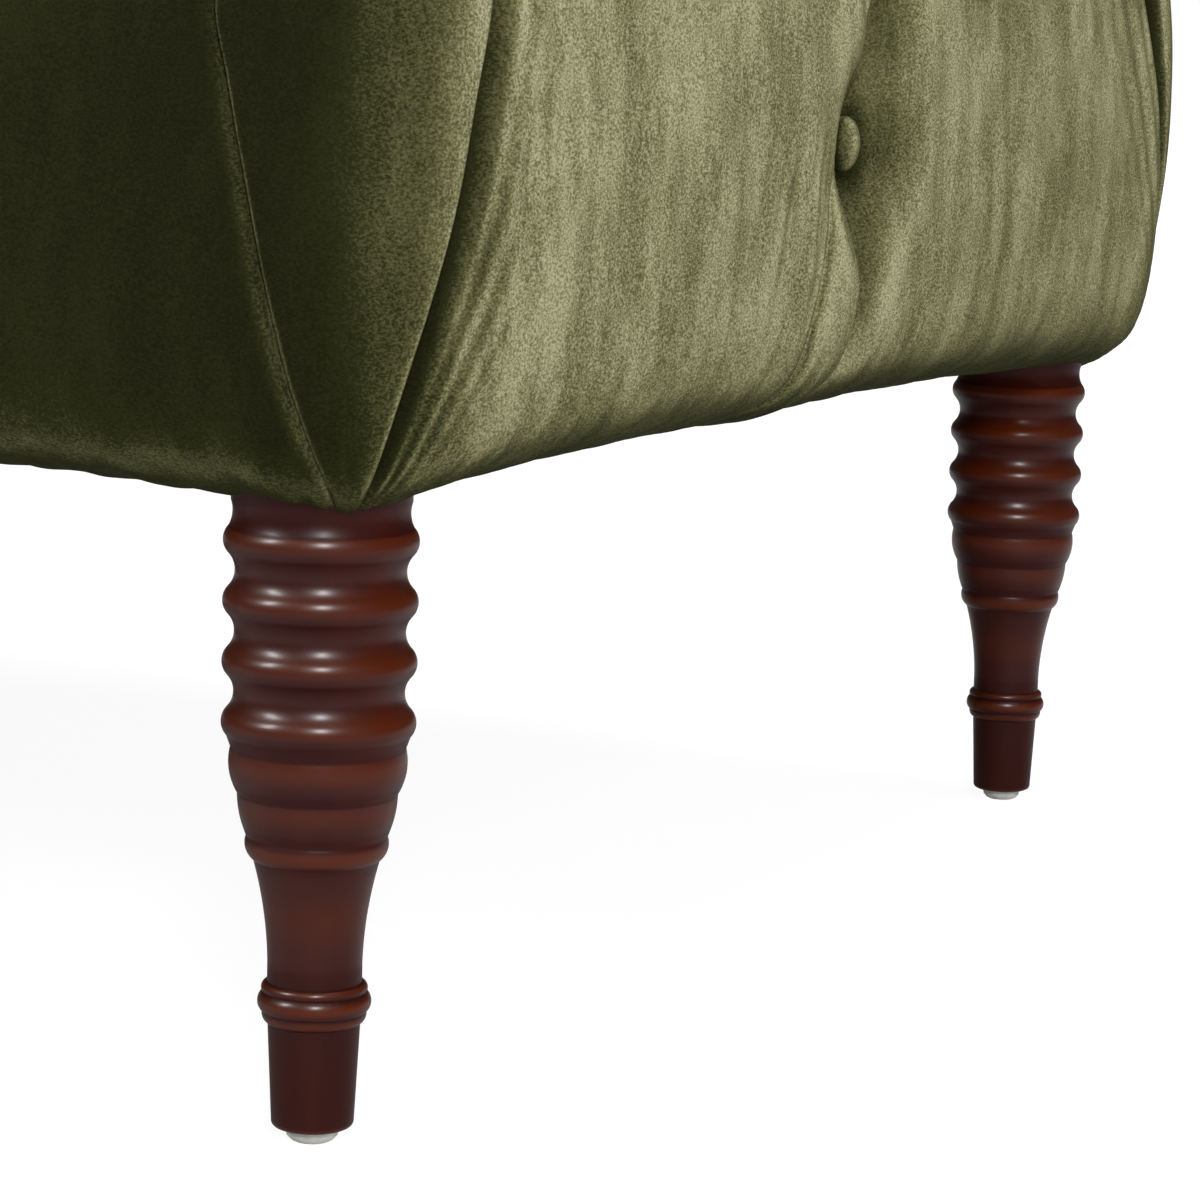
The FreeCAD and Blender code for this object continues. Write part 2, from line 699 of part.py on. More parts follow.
# Low buttons round the base: one in the foot end, and one on each side between pairs of edge buttons.
lowZ = size("low_button_height")
pleatTop = size("seat_height") - size("cover_top_radius")
pleatFoot = frameFloor + size("cover_under_radius") / 2
edgeRows = [seat_point(3, row).y for row in range(0, seatRows, 2)]
sideLowY = [(edgeRows[i] + edgeRows[i + 1]) / 2 for i in range(1, len(edgeRows) - 1, 2)]
sideLowY.append(edgeRows[-1] + size("tuft_row_spacing"))


def low_tuft(centre, along, outward):
    # A dimple with a pleat down to the hem and two that spread up to the top edge.
    down = Vector(centre.x, centre.y, pleatFoot)
    up = Vector(centre.x, centre.y, pleatTop)
    spread = along * halfPitch
    return [dimple(centre, outward), pleat(centre, down, outward),
            pleat(centre, up + spread, outward), pleat(centre, up - spread, outward)]


footTuft = Vector(0, footY, lowZ)
tuftCuts = low_tuft(footTuft, X, -Y)
sideTufts = {}
for sideName, side in sides:
    sideTufts[side] = [Vector(side * half, y, lowZ) for y in sideLowY]
    for centre in sideTufts[side]:
        tuftCuts += low_tuft(centre, Y, X * side)

# Two pleats at each foot corner meet at its lower tip and leave a wedge between them.
cornerTip = size("cover_under_radius") / 2
cornerWaist = size("corner_pleat_waist")
for sideName, side in sides:
    upperX = 3 * halfPitch
    waist = Vector(side * (half - cornerWaist), footY, lowZ)
    tuftCuts += [pleat(Vector(side * upperX, footY, pleatTop), waist, -Y),
                 pleat(waist, Vector(side * (half - cornerTip), footY, pleatFoot), -Y)]
    waist = Vector(side * half, footY + cornerWaist, lowZ)
    tuftCuts += [pleat(Vector(side * half, firstRow, pleatTop), waist, X * side),
                 pleat(waist, Vector(side * half, footY + cornerTip, pleatFoot), X * side)]

seatCuts = diagonal_pleats(seatGrid, seat_point, Z)
seatCuts += [dimple(seat_point(*place), Z) for place in sorted(seatGrid)]
lastRow = max(row for column, row in seatGrid)
for column, row in sorted(seatGrid):
    if row == lastRow:
        start = seat_point(column, row)
        seatCuts.append(pleat(start, Vector(start.x, crease.y, start.z), Z))
seatCover = outer.cut([cavity, hemOpening, backRoom] + legHoles)
seatCover = seatCover.cut(seatCuts[0].multiFuse(seatCuts[1:]))
keep(solid("seat_cover", seatCover.cut(tuftCuts)), "seat_cover")

seatButtons = [button(seat_point(*place), Z) for place in sorted(seatGrid)]
keep(solid("seat_buttons", Part.makeCompound(seatButtons)), "seat_buttons")
keep(solid("foot_button", button(footTuft, -Y)), "foot_button")
for sideName, side in sides:
    lowButtons = [button(centre, X * side) for centre in sideTufts[side]]
    keep(solid("side_buttons_" + sideName, Part.makeCompound(lowButtons)), "side_buttons_" + sideName)

# The dust cover closes the underside, with round holes for the legs.
dustFloor = frameFloor - size("cover_hem") - size("dust_cover_thickness")
dustInset = size("dust_cover_inset")
dustSheet = box("dust_sheet", Vector(dustInset - half, footY + dustInset, dustFloor),
                "Sizes.body_width - 2*Sizes.dust_cover_inset",
                "Sizes.overall_length - Sizes.roll_overhang - Sizes.outside_panel_thickness"
                " - Sizes.dust_cover_inset",
                "Sizes.dust_cover_thickness")
dustHoles = [rod("dust_hole_" + name, Vector(side * legX, y, 0), Z,
                 "Sizes.leg_top_radius + Sizes.cloth_clearance",
                 "Sizes.leg_height") for name, side, y in legs]
keep(cut("dust_cover", dustSheet, dustHoles), "dust_cover")

# Straps and foam of the back.
strapRun = lowRailDrop + size("back_rail_height")
straps = []
for column in range(-2, 3):
    strap = box("strap_%d" % (column + 3), Vector(), "Sizes.strap_width", "Sizes.strap_thickness",
                "%r" % strapRun)
    low = on_front(foamBack, lowRailDrop + size("back_rail_height") / 2)
    low += Vector(column * 2 * size("strap_width") - size("strap_width") / 2, 0, 0)
    strap.Placement = Placement(low, Rotation(X, -size("back_rake")))
    straps.append(strap)
keep(group("back_straps", straps), "back_straps")

foamReach = rollRadius - foamBack
foamTop = rollCentre + outFront * foamReach + upBack * math.sqrt(rollInside ** 2 - foamReach ** 2)
frontEdge = on_front(size("back_cover_thickness"), 0)
foamCrown = rollCentre + (outFront * rollInside + (foamTop - rollCentre)).normalize() * rollInside
backFoam = extruded([
    behind_front(foamBack, facingFoot), behind_front(size("back_cover_thickness"), facingFoot),
    (frontEdge, foamCrown, foamTop)], X * 2 * frameHalf)
backFoam.translate(-X * frameHalf)
keep(solid("back_foam", backFoam), "back_foam")

# The roll's stuffing fills the round behind the foam, between the posts and over the top rail.
rollEnd = under_roll(rollInside, frameRear)
rollStuffing = extruded([
    (postTop, on_roll(rollInside, rollRear), rollEnd),
    on_front(strapBack, size("back_rail_height"))], X * 2 * innerHalf)
rollStuffing.translate(-X * innerHalf)
topRail = [node for node in nodes if node.Label == "back_top_rail"][0]
doc.recompute()
keep(solid("roll_stuffing", rollStuffing.cut(topRail.Base.Shape)), "roll_stuffing")

# The back's own cover runs up the rake, over the roll and ends under it.
coverEnd = under_roll(rollRadius, rearY)
endOut = (coverEnd - rollCentre).normalize()
coverBand = extruded([
    behind_front(0, facingFoot),
    (on_front(0, 0), on_roll(rollRadius, rollRear), coverEnd),
    (rollCentre + endOut * rollInside, on_roll(rollInside, rollRear), frontEdge),
    behind_front(size("back_cover_thickness"), facingFoot)], X * 2 * frameHalf)
coverBand.translate(-X * frameHalf)
backRows = int((backRun - size("tuft_edge")) // size("tuft_row_spacing"))
backGrid = tuft_grid(backRows)


def back_point(column, row):
    drop = backRun - size("tuft_edge") - size("tuft_row_spacing") * row
    return on_front(0, drop) + Vector(column * halfPitch, 0, 0)


backCuts = diagonal_pleats(backGrid, back_point, outFront)
backCuts += [dimple(back_point(*place), outFront) for place in sorted(backGrid)]
topRow = max(row for column, row in backGrid)
for column, row in sorted(backGrid):
    if row == topRow:
        top = on_front(0, 0) + Vector(column * halfPitch, 0, 0)
        backCuts.append(pleat(back_point(column, row), top, outFront))
        backCuts.append(Part.makeTorus(rollRadius, size("roll_channel_radius"),
                                       rollCentre + Vector(column * halfPitch, 0, 0), X))
keep(solid("back_cover", coverBand.cut(backCuts)), "back_cover")
backButtons = [button(back_point(*place), outFront) for place in sorted(backGrid)]
keep(solid("back_buttons", Part.makeCompound(backButtons)), "back_buttons")

# Padded facings close the back's sides, edged with a welt; a panel closes its outside.
for sideName, side in sides:
    facing = extruded([
        Vector(0, frameRear, facingFoot), behind_front(0, facingFoot),
        (on_front(0, 0), on_roll(rollRadius, rollRear), under_roll(rollRadius, frameRear))],
        X * side * size("facing_thickness"))
    facing.translate(X * side * frameHalf)
    keep(solid("back_facing_" + sideName, facing), "back_facing_" + sideName)
    inset = size("welt_radius")
    x = X * side * (facingHalf + inset)
    weltFoot = behind_front(inset, facingFoot + inset) + x
    weltTop = on_front(inset, 0) + x
    weltEnd = rollCentre + endOut * (rollRadius - inset) + x
    path = Part.Wire([
        Part.LineSegment(weltFoot, weltTop).toShape(),
        Part.Arc(weltTop, on_roll(rollRadius - inset, rollRear) + x, weltEnd).toShape()])
    ring = Part.Wire(Part.makeCircle(inset, weltFoot, upBack))
    welt = path.makePipeShell([ring], True, False)
    keep(solid("facing_welt_" + sideName, welt), "facing_welt_" + sideName)

panelTop = coverEnd.z - clothClearance
panel = box("outside_back_panel", Vector(-facingHalf, frameRear, frameFloor),
            "Sizes.body_width - 2*(Sizes.cover_thickness + Sizes.pad_thickness - Sizes.facing_thickness)",
            "Sizes.outside_panel_thickness", "%r" % (panelTop - frameFloor))
keep(panel, "outside_back_panel")

# Every object has to be sound before anything is written.
doc.recompute()
for thing in doc.Objects:
    if "Invalid" in thing.State or "Error" in thing.State:
        raise RuntimeError("%s failed: %s" % (thing.Label, thing.State))
for node in nodes:
    if node.Shape.isNull() or not node.Shape.isValid():
        raise RuntimeError(node.Label + " has no valid shape")
os.makedirs("parts", exist_ok=True)
for node in nodes:
    node.Shape.exportStep("parts/%s.step" % node.Label)
    print(node.Label, len(node.Shape.Solids), round(node.Shape.Volume / 1000.0, 1))
print(len(nodes), "nodes")
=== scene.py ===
import bisect
import math

import bmesh
import bpy
from mathutils import Matrix, Vector, kdtree, noise


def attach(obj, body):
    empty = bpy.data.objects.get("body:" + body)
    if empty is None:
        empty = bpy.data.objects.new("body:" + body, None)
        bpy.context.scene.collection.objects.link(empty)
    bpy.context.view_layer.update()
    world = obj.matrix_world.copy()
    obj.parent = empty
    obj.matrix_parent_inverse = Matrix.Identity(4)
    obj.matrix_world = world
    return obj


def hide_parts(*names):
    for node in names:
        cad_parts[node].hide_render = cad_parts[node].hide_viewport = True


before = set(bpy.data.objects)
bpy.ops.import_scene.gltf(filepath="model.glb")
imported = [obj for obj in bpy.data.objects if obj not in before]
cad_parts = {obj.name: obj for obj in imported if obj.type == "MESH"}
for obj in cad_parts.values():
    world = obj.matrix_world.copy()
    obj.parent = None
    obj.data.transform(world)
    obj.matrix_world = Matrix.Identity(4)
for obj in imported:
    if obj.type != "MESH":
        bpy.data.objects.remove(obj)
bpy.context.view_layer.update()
print("frame loaded,", len(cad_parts), "nodes")


def ramp(low, high, x):  # smooth step from 0 to 1
    t = min(max((x - low) / (high - low), 0.0), 1.0)
    return t * t * (3.0 - 2.0 * t)


def through(knots):  # a smooth curve y(x) through the knots, level beyond them
    xs = [k[0] for k in knots]
    ys = [k[1] for k in knots]
    rises = [(b[1] - a[1]) / (b[0] - a[0]) for a, b in zip(knots, knots[1:])]
    inner = [math.copysign(min(abs(a + b) / 2, 3 * abs(a), 3 * abs(b)), a) if a * b > 0 else 0.0
             for a, b in zip(rises, rises[1:])]  # held back, so that the curve never overshoots
    slopes = [rises[0]] + inner + [rises[-1]]

    def curve(x):
        x = min(max(x, xs[0]), xs[-1])
        i = min(bisect.bisect_right(xs, x) - 1, len(xs) - 2)
        step = xs[i + 1] - xs[i]
        t = (x - xs[i]) / step
        rise = ys[i + 1] - ys[i]
        a, b = slopes[i] * step - rise, rise - slopes[i + 1] * step
        return ys[i] + rise * t + t * (1 - t) * (a * (1 - t) + b * t)

    return curve


def newObject(name, bm, smoothAngle=60.0):
    mesh = bpy.data.meshes.new(name)
    for face in bm.faces:
        face.smooth = True
    bm.to_mesh(mesh)
    bm.free()
    mesh.set_sharp_from_angle(angle=math.radians(smoothAngle))
    made = bpy.data.objects.new(name, mesh)
    bpy.context.scene.collection.objects.link(made)
    return made


def dress(piece, material, slot, *nodes):
    piece.data.materials.clear()
    piece.data.materials.append(material)
    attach(piece, "root")
    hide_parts(*nodes)


# Materials
def newMaterial(name):
    material = bpy.data.materials.new(name)
    material.use_nodes = True
    return material, material.node_tree, material.node_tree.nodes["Principled BSDF"]


def setInputs(node, values):  # an output is linked, a plain value is set
    for name, value in values.items():
        if isinstance(value, bpy.types.NodeSocket):
            node.id_data.links.new(value, node.inputs[name])
        else:
            node.inputs[name].default_value = value


def newNode(tree, kind, values):
    node = tree.nodes.new("ShaderNode" + kind)
    setInputs(node, values)
    return node


def objectCoords(tree):
    return newNode(tree, "TexCoord", {}).outputs["Object"]


def noiseNode(coords, scale, stretch, detail, rough):
    mapping = newNode(coords.id_data, "Mapping", {"Vector": coords, "Scale": stretch})
    texture = newNode(coords.id_data, "TexNoise", {
        "Vector": mapping.outputs["Vector"], "Scale": scale, "Detail": detail, "Roughness": rough,
    })
    return texture.outputs["Fac"]


def spread(value, low, high, toLow=0.0, toHigh=1.0):
    node = newNode(value.id_data, "MapRange", {
        "Value": value, "From Min": low, "From Max": high, "To Min": toLow, "To Max": toHigh,
    })
    node.interpolation_type = "SMOOTHSTEP"
    return node.outputs["Result"]


def blendColours(factor, first, second):
    node = newNode(factor.id_data, "Mix", {0: factor})
    node.data_type = "RGBA"
    for place, colour in ((6, first), (7, second)):
        setInputs(node, {place: colour + (1.0,) if isinstance(colour, tuple) else colour})
    return node.outputs[2]


def addUp(operation, first, second):
    node = newNode(first.id_data, "Math", {0: first, 1: second})
    node.operation = operation
    return node.outputs[0]


def bumped(shader, height, strength, distance):
    bump = newNode(shader.id_data, "Bump", {"Strength": strength, "Distance": distance, "Height": height})
    setInputs(shader, {"Normal": bump.outputs["Normal"]})


velvetLook = {
    "ramp": ((0.0, (0.0085, 0.0092, 0.0024)), (0.22, (0.0210, 0.0225, 0.0064)), (0.50, (0.090, 0.087, 0.037)),
             (0.72, (0.195, 0.186, 0.092)), (1.0, (0.380, 0.360, 0.220))),  # painted light and shade: from dark, for pile seen end on and in painted shade, to light, for pile seen side on with painted sheen and painted light
    "streaks": (75.0, (1.0, 1.0, 0.36), 5.0, 0.65), "streakLean": 0.11,  # scale, stretch, detail, roughness
    "clouds": (17.0, (1.0, 1.0, 0.5), 3.0, 0.55), "cloudLean": 0.08,
    "grain": (1300.0, (0.7, 0.7, 1.0), 3.0, 0.75), "grainLean": 0.26, "grainDepth": 0.0006,
    # headOn, sideOn and glance paint a sheen by the angle of view; the footward term paints light on faces
    # turned to the foot; under paints shade on faces turned down
    "headOn": 0.05, "sideOn": 0.50, "glance": 0.25, "paintedFootLight": 0.27, "under": 0.70, "evenLean": 0.22,
    "roughness": 0.85, "specular": 0.02,
    "sheen": (0.55, 0.56, 0.32), "sheenWeight": 0.04, "sheenRoughness": 0.35,
}


def napGroup():  # how the pile leans and its grain, over the cloth
    group = bpy.data.node_groups.new("velvetNap", "ShaderNodeTree")
    group.interface.new_socket("Lean", in_out="OUTPUT", socket_type="NodeSocketFloat")
    group.interface.new_socket("Height", in_out="OUTPUT", socket_type="NodeSocketFloat")
    coords = objectCoords(group)
    streaks = noiseNode(coords, *velvetLook["streaks"])
    clouds = noiseNode(coords, *velvetLook["clouds"])
    grain = noiseNode(coords, *velvetLook["grain"])
    lean = spread(streaks, 0.32, 0.70, -velvetLook["streakLean"], velvetLook["streakLean"])
    for fac, amount in ((clouds, velvetLook["cloudLean"]), (grain, velvetLook["grainLean"])):
        lean = addUp("ADD", lean, spread(fac, 0.32, 0.68, -amount, amount))
    height = addUp("ADD", addUp("MULTIPLY", streaks, 0.6), grain)
    setInputs(group.nodes.new("NodeGroupOutput"), {"Lean": lean, "Height": height})
    return group


velvetNap = napGroup()


def velvetMaterial(name, grain):
    material, tree, shader = newMaterial(name)
    nap = tree.nodes.new("ShaderNodeGroup")
    nap.node_tree = velvetNap
    bumped(shader, nap.outputs["Height"], grain, velvetLook["grainDepth"])
    facing = newNode(tree, "LayerWeight", {"Blend": 0.5}).outputs["Facing"]
    normal = newNode(tree, "SeparateXYZ", {0: newNode(tree, "NewGeometry", {}).outputs["Normal"]}).outputs
    # painted sheen: the colour lightens as the surface turns away from the camera, and darkens again at the
    # very edge
    turned = spread(facing, 0.06, 0.62, velvetLook["headOn"], velvetLook["sideOn"])
    turned = addUp("ADD", turned, spread(normal["Y"], -0.82, -0.30, velvetLook["paintedFootLight"], 0.0))  # painted light on faces turned towards the foot
    turned = addUp("SUBTRACT", turned, spread(facing, 0.60, 0.85, 0.0, velvetLook["glance"]))
    leaned = addUp("MULTIPLY", nap.outputs["Lean"], addUp("ADD", turned, velvetLook["evenLean"]))
    # painted shade on faces turned downwards
    under = spread(normal["Z"], -0.80, 0.00, velvetLook["under"], 1.0)
    lit = addUp("MULTIPLY", addUp("ADD", turned, leaned), under)
    colours = newNode(tree, "ValToRGB", {"Fac": lit})
    stops = colours.color_ramp.elements
    while len(stops) < len(velvetLook["ramp"]):
        stops.new(0.5)
    for stop, (place, colour) in zip(stops, velvetLook["ramp"]):
        stop.position = place
        stop.color = colour + (1.0,)
    setInputs(shader, {
        "Base Color": colours.outputs["Color"],
        "Roughness": velvetLook["roughness"], "Specular IOR Level": velvetLook["specular"],
        "Sheen Weight": velvetLook["sheenWeight"], "Sheen Roughness": velvetLook["sheenRoughness"],
        "Sheen Tint": velvetLook["sheen"] + (1.0,),
    })
    return material


velvet = velvetMaterial("velvet", 0.45)
buttonVelvet = velvetMaterial("buttonVelvet", 0.25)

lacquerLook = {
    # amber is the painted light on upward-facing slopes; dark serves both the pore stain and the painted
    # shade
    "amber": (0.068, 0.0100, 0.0010), "dark": (0.017, 0.003, 0.0025), "body": (0.029, 0.0032, 0.0016),
    "warm": (0.044, 0.0052, 0.0014), "grain": (60.0, (1.0, 1.0, 0.07), 5.0, 0.6),
    "pores": (420.0, (1.0, 1.0, 0.05), 2.0, 0.5), "poreStain": 0.16, "poreDepth": 0.0003, "shadeDarkening": 0.6,
    "roughness": 0.45, "specular": 0.08,
    "coat": 0.5, "shadedCoat": 0.16, "coatIor": 1.3, "coatRoughness": 0.28,
}


def lacquerMaterial():  # painted light and shade: amber painted light on the upward-facing slopes of the turnings, dark painted shade on their downward-facing sides, in the coves and under the seat's hem
    material, tree, shader = newMaterial("mahogany")
    coords = objectCoords(tree)
    grain = noiseNode(coords, *lacquerLook["grain"])
    pores = noiseNode(coords, *lacquerLook["pores"])
    attribute = newNode(tree, "Attribute", {})
    attribute.attribute_name = "paintedShade"
    paintedShade = attribute.outputs["Fac"]
    stained = spread(pores, 0.60, 0.75, 0.0, lacquerLook["poreStain"])
    # painted shade: darker where the painted shade value is high
    paintedDarkening = addUp("MULTIPLY", paintedShade, lacquerLook["shadeDarkening"])
    wood = blendColours(spread(grain, 0.35, 0.7), lacquerLook["body"], lacquerLook["warm"])
    wood = blendColours(stained, wood, lacquerLook["dark"])
    # painted light: amber where the painted shade value is low, on the upward-facing slopes
    wood = blendColours(spread(paintedShade, 0.0, 0.30, 1.0, 0.0), wood, lacquerLook["amber"])
    wood = blendColours(paintedDarkening, wood, lacquerLook["dark"])
    bumped(shader, pores, 0.06, lacquerLook["poreDepth"])
    setInputs(shader, {
        "Base Color": wood,
        "Roughness": lacquerLook["roughness"], "Specular IOR Level": lacquerLook["specular"],
        # the coat thins where the painted shade lies, which dims the reflections in the coves
        "Coat Weight": spread(paintedShade, 0.30, 0.58, lacquerLook["coat"], lacquerLook["shadedCoat"]),
        "Coat IOR": lacquerLook["coatIor"], "Coat Roughness": lacquerLook["coatRoughness"],
    })
    return material


def plainMaterial(name, first, second, scale, stretch, roughness, metallic=0.0, bumpDepth=0.0):
    material, tree, shader = newMaterial(name)
    fac = noiseNode(objectCoords(tree), scale, stretch, 4.0, 0.6)
    mottled = blendColours(spread(fac, 0.3, 0.7), first, second)
    setInputs(shader, {"Base Color": mottled, "Roughness": roughness, "Metallic": metallic})
    if bumpDepth:
        bumped(shader, fac, 0.4, bumpDepth)
    return material


lacquer = lacquerMaterial()
even = (1, 1, 1)
plainLooks = {  # material, two colours, scale, stretch, roughness, metallic, bump depth
    "frame_timber": ("frameTimber", (0.42, 0.29, 0.16), (0.58, 0.43, 0.26), 30.0, (0.4, 0.15, 0.6), 0.75),
    "steel": ("zincSteel", (0.42, 0.42, 0.43), (0.62, 0.62, 0.63), 80.0, even, 0.35, 1.0),
    "glide_plastic": ("glidePlastic", (0.50, 0.49, 0.46), (0.60, 0.59, 0.56), 300.0, even, 0.6),
    "foam": ("foam", (0.70, 0.64, 0.45), (0.82, 0.77, 0.60), 260.0, even, 0.95, 0.0, 0.001),
    "jute": ("jute", (0.28, 0.20, 0.11), (0.46, 0.36, 0.22), 500.0, (1, 1, 0.2), 0.95, 0.0, 0.0005),
    "dust_cloth": ("dustCloth", (0.010, 0.010, 0.010), (0.022, 0.022, 0.022), 900.0, even, 0.95),
}
slotMaterials = {slot: plainMaterial(*look) for slot, look in plainLooks.items()}
print("materials made")


# Cover of the base
base = {
    "edgeX": 0.285, "edgeY": -0.718, "sideReach": 0.070, "footReach": 0.062,
    "cornerRun": 0.1037, "cornerPower": 2.2,
    "wall": [(0.060, 0.1935), (0.040, 0.1955), (0.028, 0.1990), (0.018, 0.2035), (0.010, 0.2100),
             (0.0045, 0.2220), (0.0015, 0.2430), (0.0, 0.2860), (0.003, 0.3450), (0.009, 0.3780),
             (0.022, 0.4050), (0.042, 0.4205), (0.066, 0.4265)],  # inset from the face, height
    "pitch": 0.095, "topSteps": 20, "rows": 12, "lift": 0.009, "rearDip": 0.014, "rear": 0.650,
    "crease": 0.46, "buttonZ": 0.289, "sideRows": (-0.433, -0.053, 0.327), "footShift": -0.013,
    "overlap": 0.008, "lowDepth": 0.0240, "topDepth": 0.021, "midDepth": 0.012, "depthFade": 0.016,
    "topReach": 0.045, "tipAround": 0.340, "tipDrop": 0.0100, "tipSpread": 0.070, "longHemDrop": 0.0040,
    "gorePuff": 0.105, "gorePeak": 0.62,
}
wallRun = [0.0]
for one, two in zip(base["wall"], base["wall"][1:]):
    wallRun.append(wallRun[-1] + math.hypot(two[0] - one[0], two[1] - one[1]))
ringS = wallRun[-1]
insetAt = through([(s, k[0]) for s, k in zip(wallRun, base["wall"])])
heightAt = through([(s, k[1]) for s, k in zip(wallRun, base["wall"])])
runAt = through([(k[1], s) for s, k in zip(wallRun, base["wall"])])
buttonS = runAt(base["buttonZ"])
tipS = runAt(0.1965)
pitch, topSteps = base["pitch"], base["topSteps"]
edgeX, edgeY = base["edgeX"], base["edgeY"]
cornerP = edgeX + base["cornerRun"]

cornerFoot = through([(0.196, 0.3375), (0.209, 0.335), (0.223, 0.3305), (0.251, 0.320), (0.278, 0.312),
                      (0.305, 0.306), (0.332, 0.299), (0.380, 0.2915), (0.4265, 0.285)])  # place by height
cornerSide = through([(0.194, 0.346), (0.212, 0.356), (0.231, 0.3645), (0.253, 0.3715), (0.282, 0.378),
                      (0.309, 0.384), (0.330, 0.389), (0.380, 0.3895), (0.4265, 0.3887)])
centreLine = through([(0.1935, -0.036), (0.208, -0.030), (0.230, -0.0235), (0.262, -0.0205), (0.289, -0.013)])
centreTuck = through([(0.1935, -0.079), (0.212, -0.070), (0.228, -0.066), (0.245, -0.060), (0.267, -0.055),
                      (0.285, -0.048)])


def cornerTable(power, count):  # the corner's plan by its own length, as shares of the two reaches
    points = []
    for i in range(count + 1):
        turn = math.pi / 2 * i / count
        points.append((math.sin(turn) ** (2 / power), math.cos(turn) ** (2 / power)))
    runs = [0.0]
    for one, two in zip(points, points[1:]):
        runs.append(runs[-1] + math.hypot(two[0] - one[0], two[1] - one[1]))
    return [run / runs[-1] for run in runs], points


cornerRuns, cornerPoints = cornerTable(base["cornerPower"], 600)


def cornerPlace(share):
    share = min(max(share, 0.0), 1.0)
    i = min(max(bisect.bisect_right(cornerRuns, share) - 1, 0), len(cornerRuns) - 2)
    t = (share - cornerRuns[i]) / (cornerRuns[i + 1] - cornerRuns[i])
    (x0, y0), (x1, y1) = cornerPoints[i], cornerPoints[i + 1]
    return x0 + (x1 - x0) * t, y0 + (y1 - y0) * t


def topHeight(x, y):
    within = min(edgeX - abs(x), y - edgeY)
    height = base["wall"][-1][1] + base["lift"] * ramp(0.0, 0.10, within)
    return height - base["rearDip"] * ramp(0.395, 0.455, y)


def baseChart(p, s):  # p runs round the foot and the two sides, s up the wall and on over the top
    around = abs(p)
    side = 1.0 if p >= 0 else -1.0
    over = max(s - ringS, 0.0)
    wallS = min(s, ringS)
    share = 1.0 - insetAt(wallS) / base["wall"][-1][0]
    z = heightAt(wallS)
    nearTip = math.exp(-abs(around - base["tipAround"]) / base["tipSpread"])
    z -= base["tipDrop"] * nearTip * ramp(0.262, 0.199, z)
    z -= base["longHemDrop"] * ramp(0.46, 0.58, around) * ramp(0.222, 0.200, z)  # the hems cover the rails
    if around <= edgeX:
        x, y = p, edgeY - base["footReach"] * share + over
    elif around < cornerP:
        across, along = cornerPlace((around - edgeX) / base["cornerRun"])
        x = side * (edgeX + base["sideReach"] * share * across)
        y = edgeY - base["footReach"] * share * along
    else:
        x = side * (edgeX + base["sideReach"] * share - over)
        y = edgeY + around - cornerP
    if over > 0:
        z = topHeight(x, y)
    return Vector((x, y, z))


def topChart(x, y):
    return Vector((x, y, topHeight(x, y)))


def sunkPoint(chart, u, s, depth):
    e = 0.001
    out = (chart(u + e, s) - chart(u - e, s)).cross(chart(u, s + e) - chart(u, s - e))
    if out.length < 1e-12:
        out = Vector((0.0, 0.0, 1.0))
    return chart(u, s) - out.normalized() * depth


def lip(t):
    t = min(max(t, 0.0), 1.0)
    return 1.0 - math.sqrt(max(1.0 - (1.0 - t) ** 2, 0.0))


def slope(t):
    t = min(max(t, 0.0), 1.0)
    return (1.0 - t) ** 2


def edge(depth, reach, fall):  # depth and reach are functions of s
    return {"depth": depth, "reach": reach, "fall": fall}


def steady(value):
    return lambda s: value


def hollow(tree, at):  # the cloth is drawn in round each button
    index, gap = tree["points"].find(at)[1:]
    deep, inner, outer = tree["shapes"][index]
    return deep * (1.0 - ramp(inner, outer, gap))


def buttonTree(rows):
    points = kdtree.KDTree(len(rows))
    for index, (at, shape) in enumerate(rows):
        points.insert(at, index)
    points.balance()
    return {"points": points, "shapes": [shape for at, shape in rows]}


def addStrip(bm, chart, levels, left, right, leftEdge, rightEdge, columns, extra, tree=None):
    rows = len(levels) - 1
    made = bmesh.ops.create_grid(bm, x_segments=columns, y_segments=rows, size=0.5)
    e = 0.002
    cache = {}
    for row, s in enumerate(levels):
        a, b = left(s), right(s)
        leanA = (left(s + e) - left(s - e)) / (2 * e)
        leanB = (right(s + e) - right(s - e)) / (2 * e)
        cache[row] = (a, b, 1.0 / math.sqrt(1.0 + leanA * leanA), 1.0 / math.sqrt(1.0 + leanB * leanB),
                      leftEdge["depth"](s), leftEdge["reach"](s),
                      rightEdge["depth"](s), rightEdge["reach"](s))
    for vert in made["verts"]:
        row = round((vert.co.y + 0.5) * rows)
        t = 0.5 - 0.5 * math.cos(math.pi * (vert.co.x + 0.5))
        s = levels[row]
        a, b, cosA, cosB, depthA, reachA, depthB, reachB = cache[row]
        u = a + (b - a) * t
        nearA = leftEdge["fall"]((u - a) * cosA / reachA)
        nearB = rightEdge["fall"]((b - u) * cosB / reachB)
        fallen = 1.0 - (1.0 - nearA) * (1.0 - nearB)
        deep = (depthA * nearA + depthB * nearB) / max(nearA + nearB, 1e-9)
        depth = deep * fallen + extra(u, s)
        if tree:
            depth += max(hollow(tree, chart(u, s)) - max(depth, 0.0), 0.0)
        vert.co = sunkPoint(chart, u, s, depth)


def tent(low, high, deep, mid, fade):  # depth of a pleat strung between two buttons
    def depth(s):
        gap = min(abs(s - low), abs(s - high))
        return mid + (deep - mid) * math.exp(-gap / fade)
    return depth


folds = {
    "swell": 0.0016, "swellScale": 11.0, "crinkle": 0.0004, "fan": 0.0009, "fanStart": 0.16, "fanPitch": 0.12,
    "gather": 0.0009, "fineGather": 0.0005, "tuck": 0.0021, "tuckWidth": 0.0020, "tuckLip": 0.0009,
    "crease": 0.0007, "creaseInset": 0.0048, "creaseWidth": 0.0010, "streak": 0.0011,
}


def swell(chart):
    return lambda u, s: folds["swell"] * noise.noise(chart(u, s) * folds["swellScale"])


baseSwell, topFolds = swell(baseChart), swell(topChart)


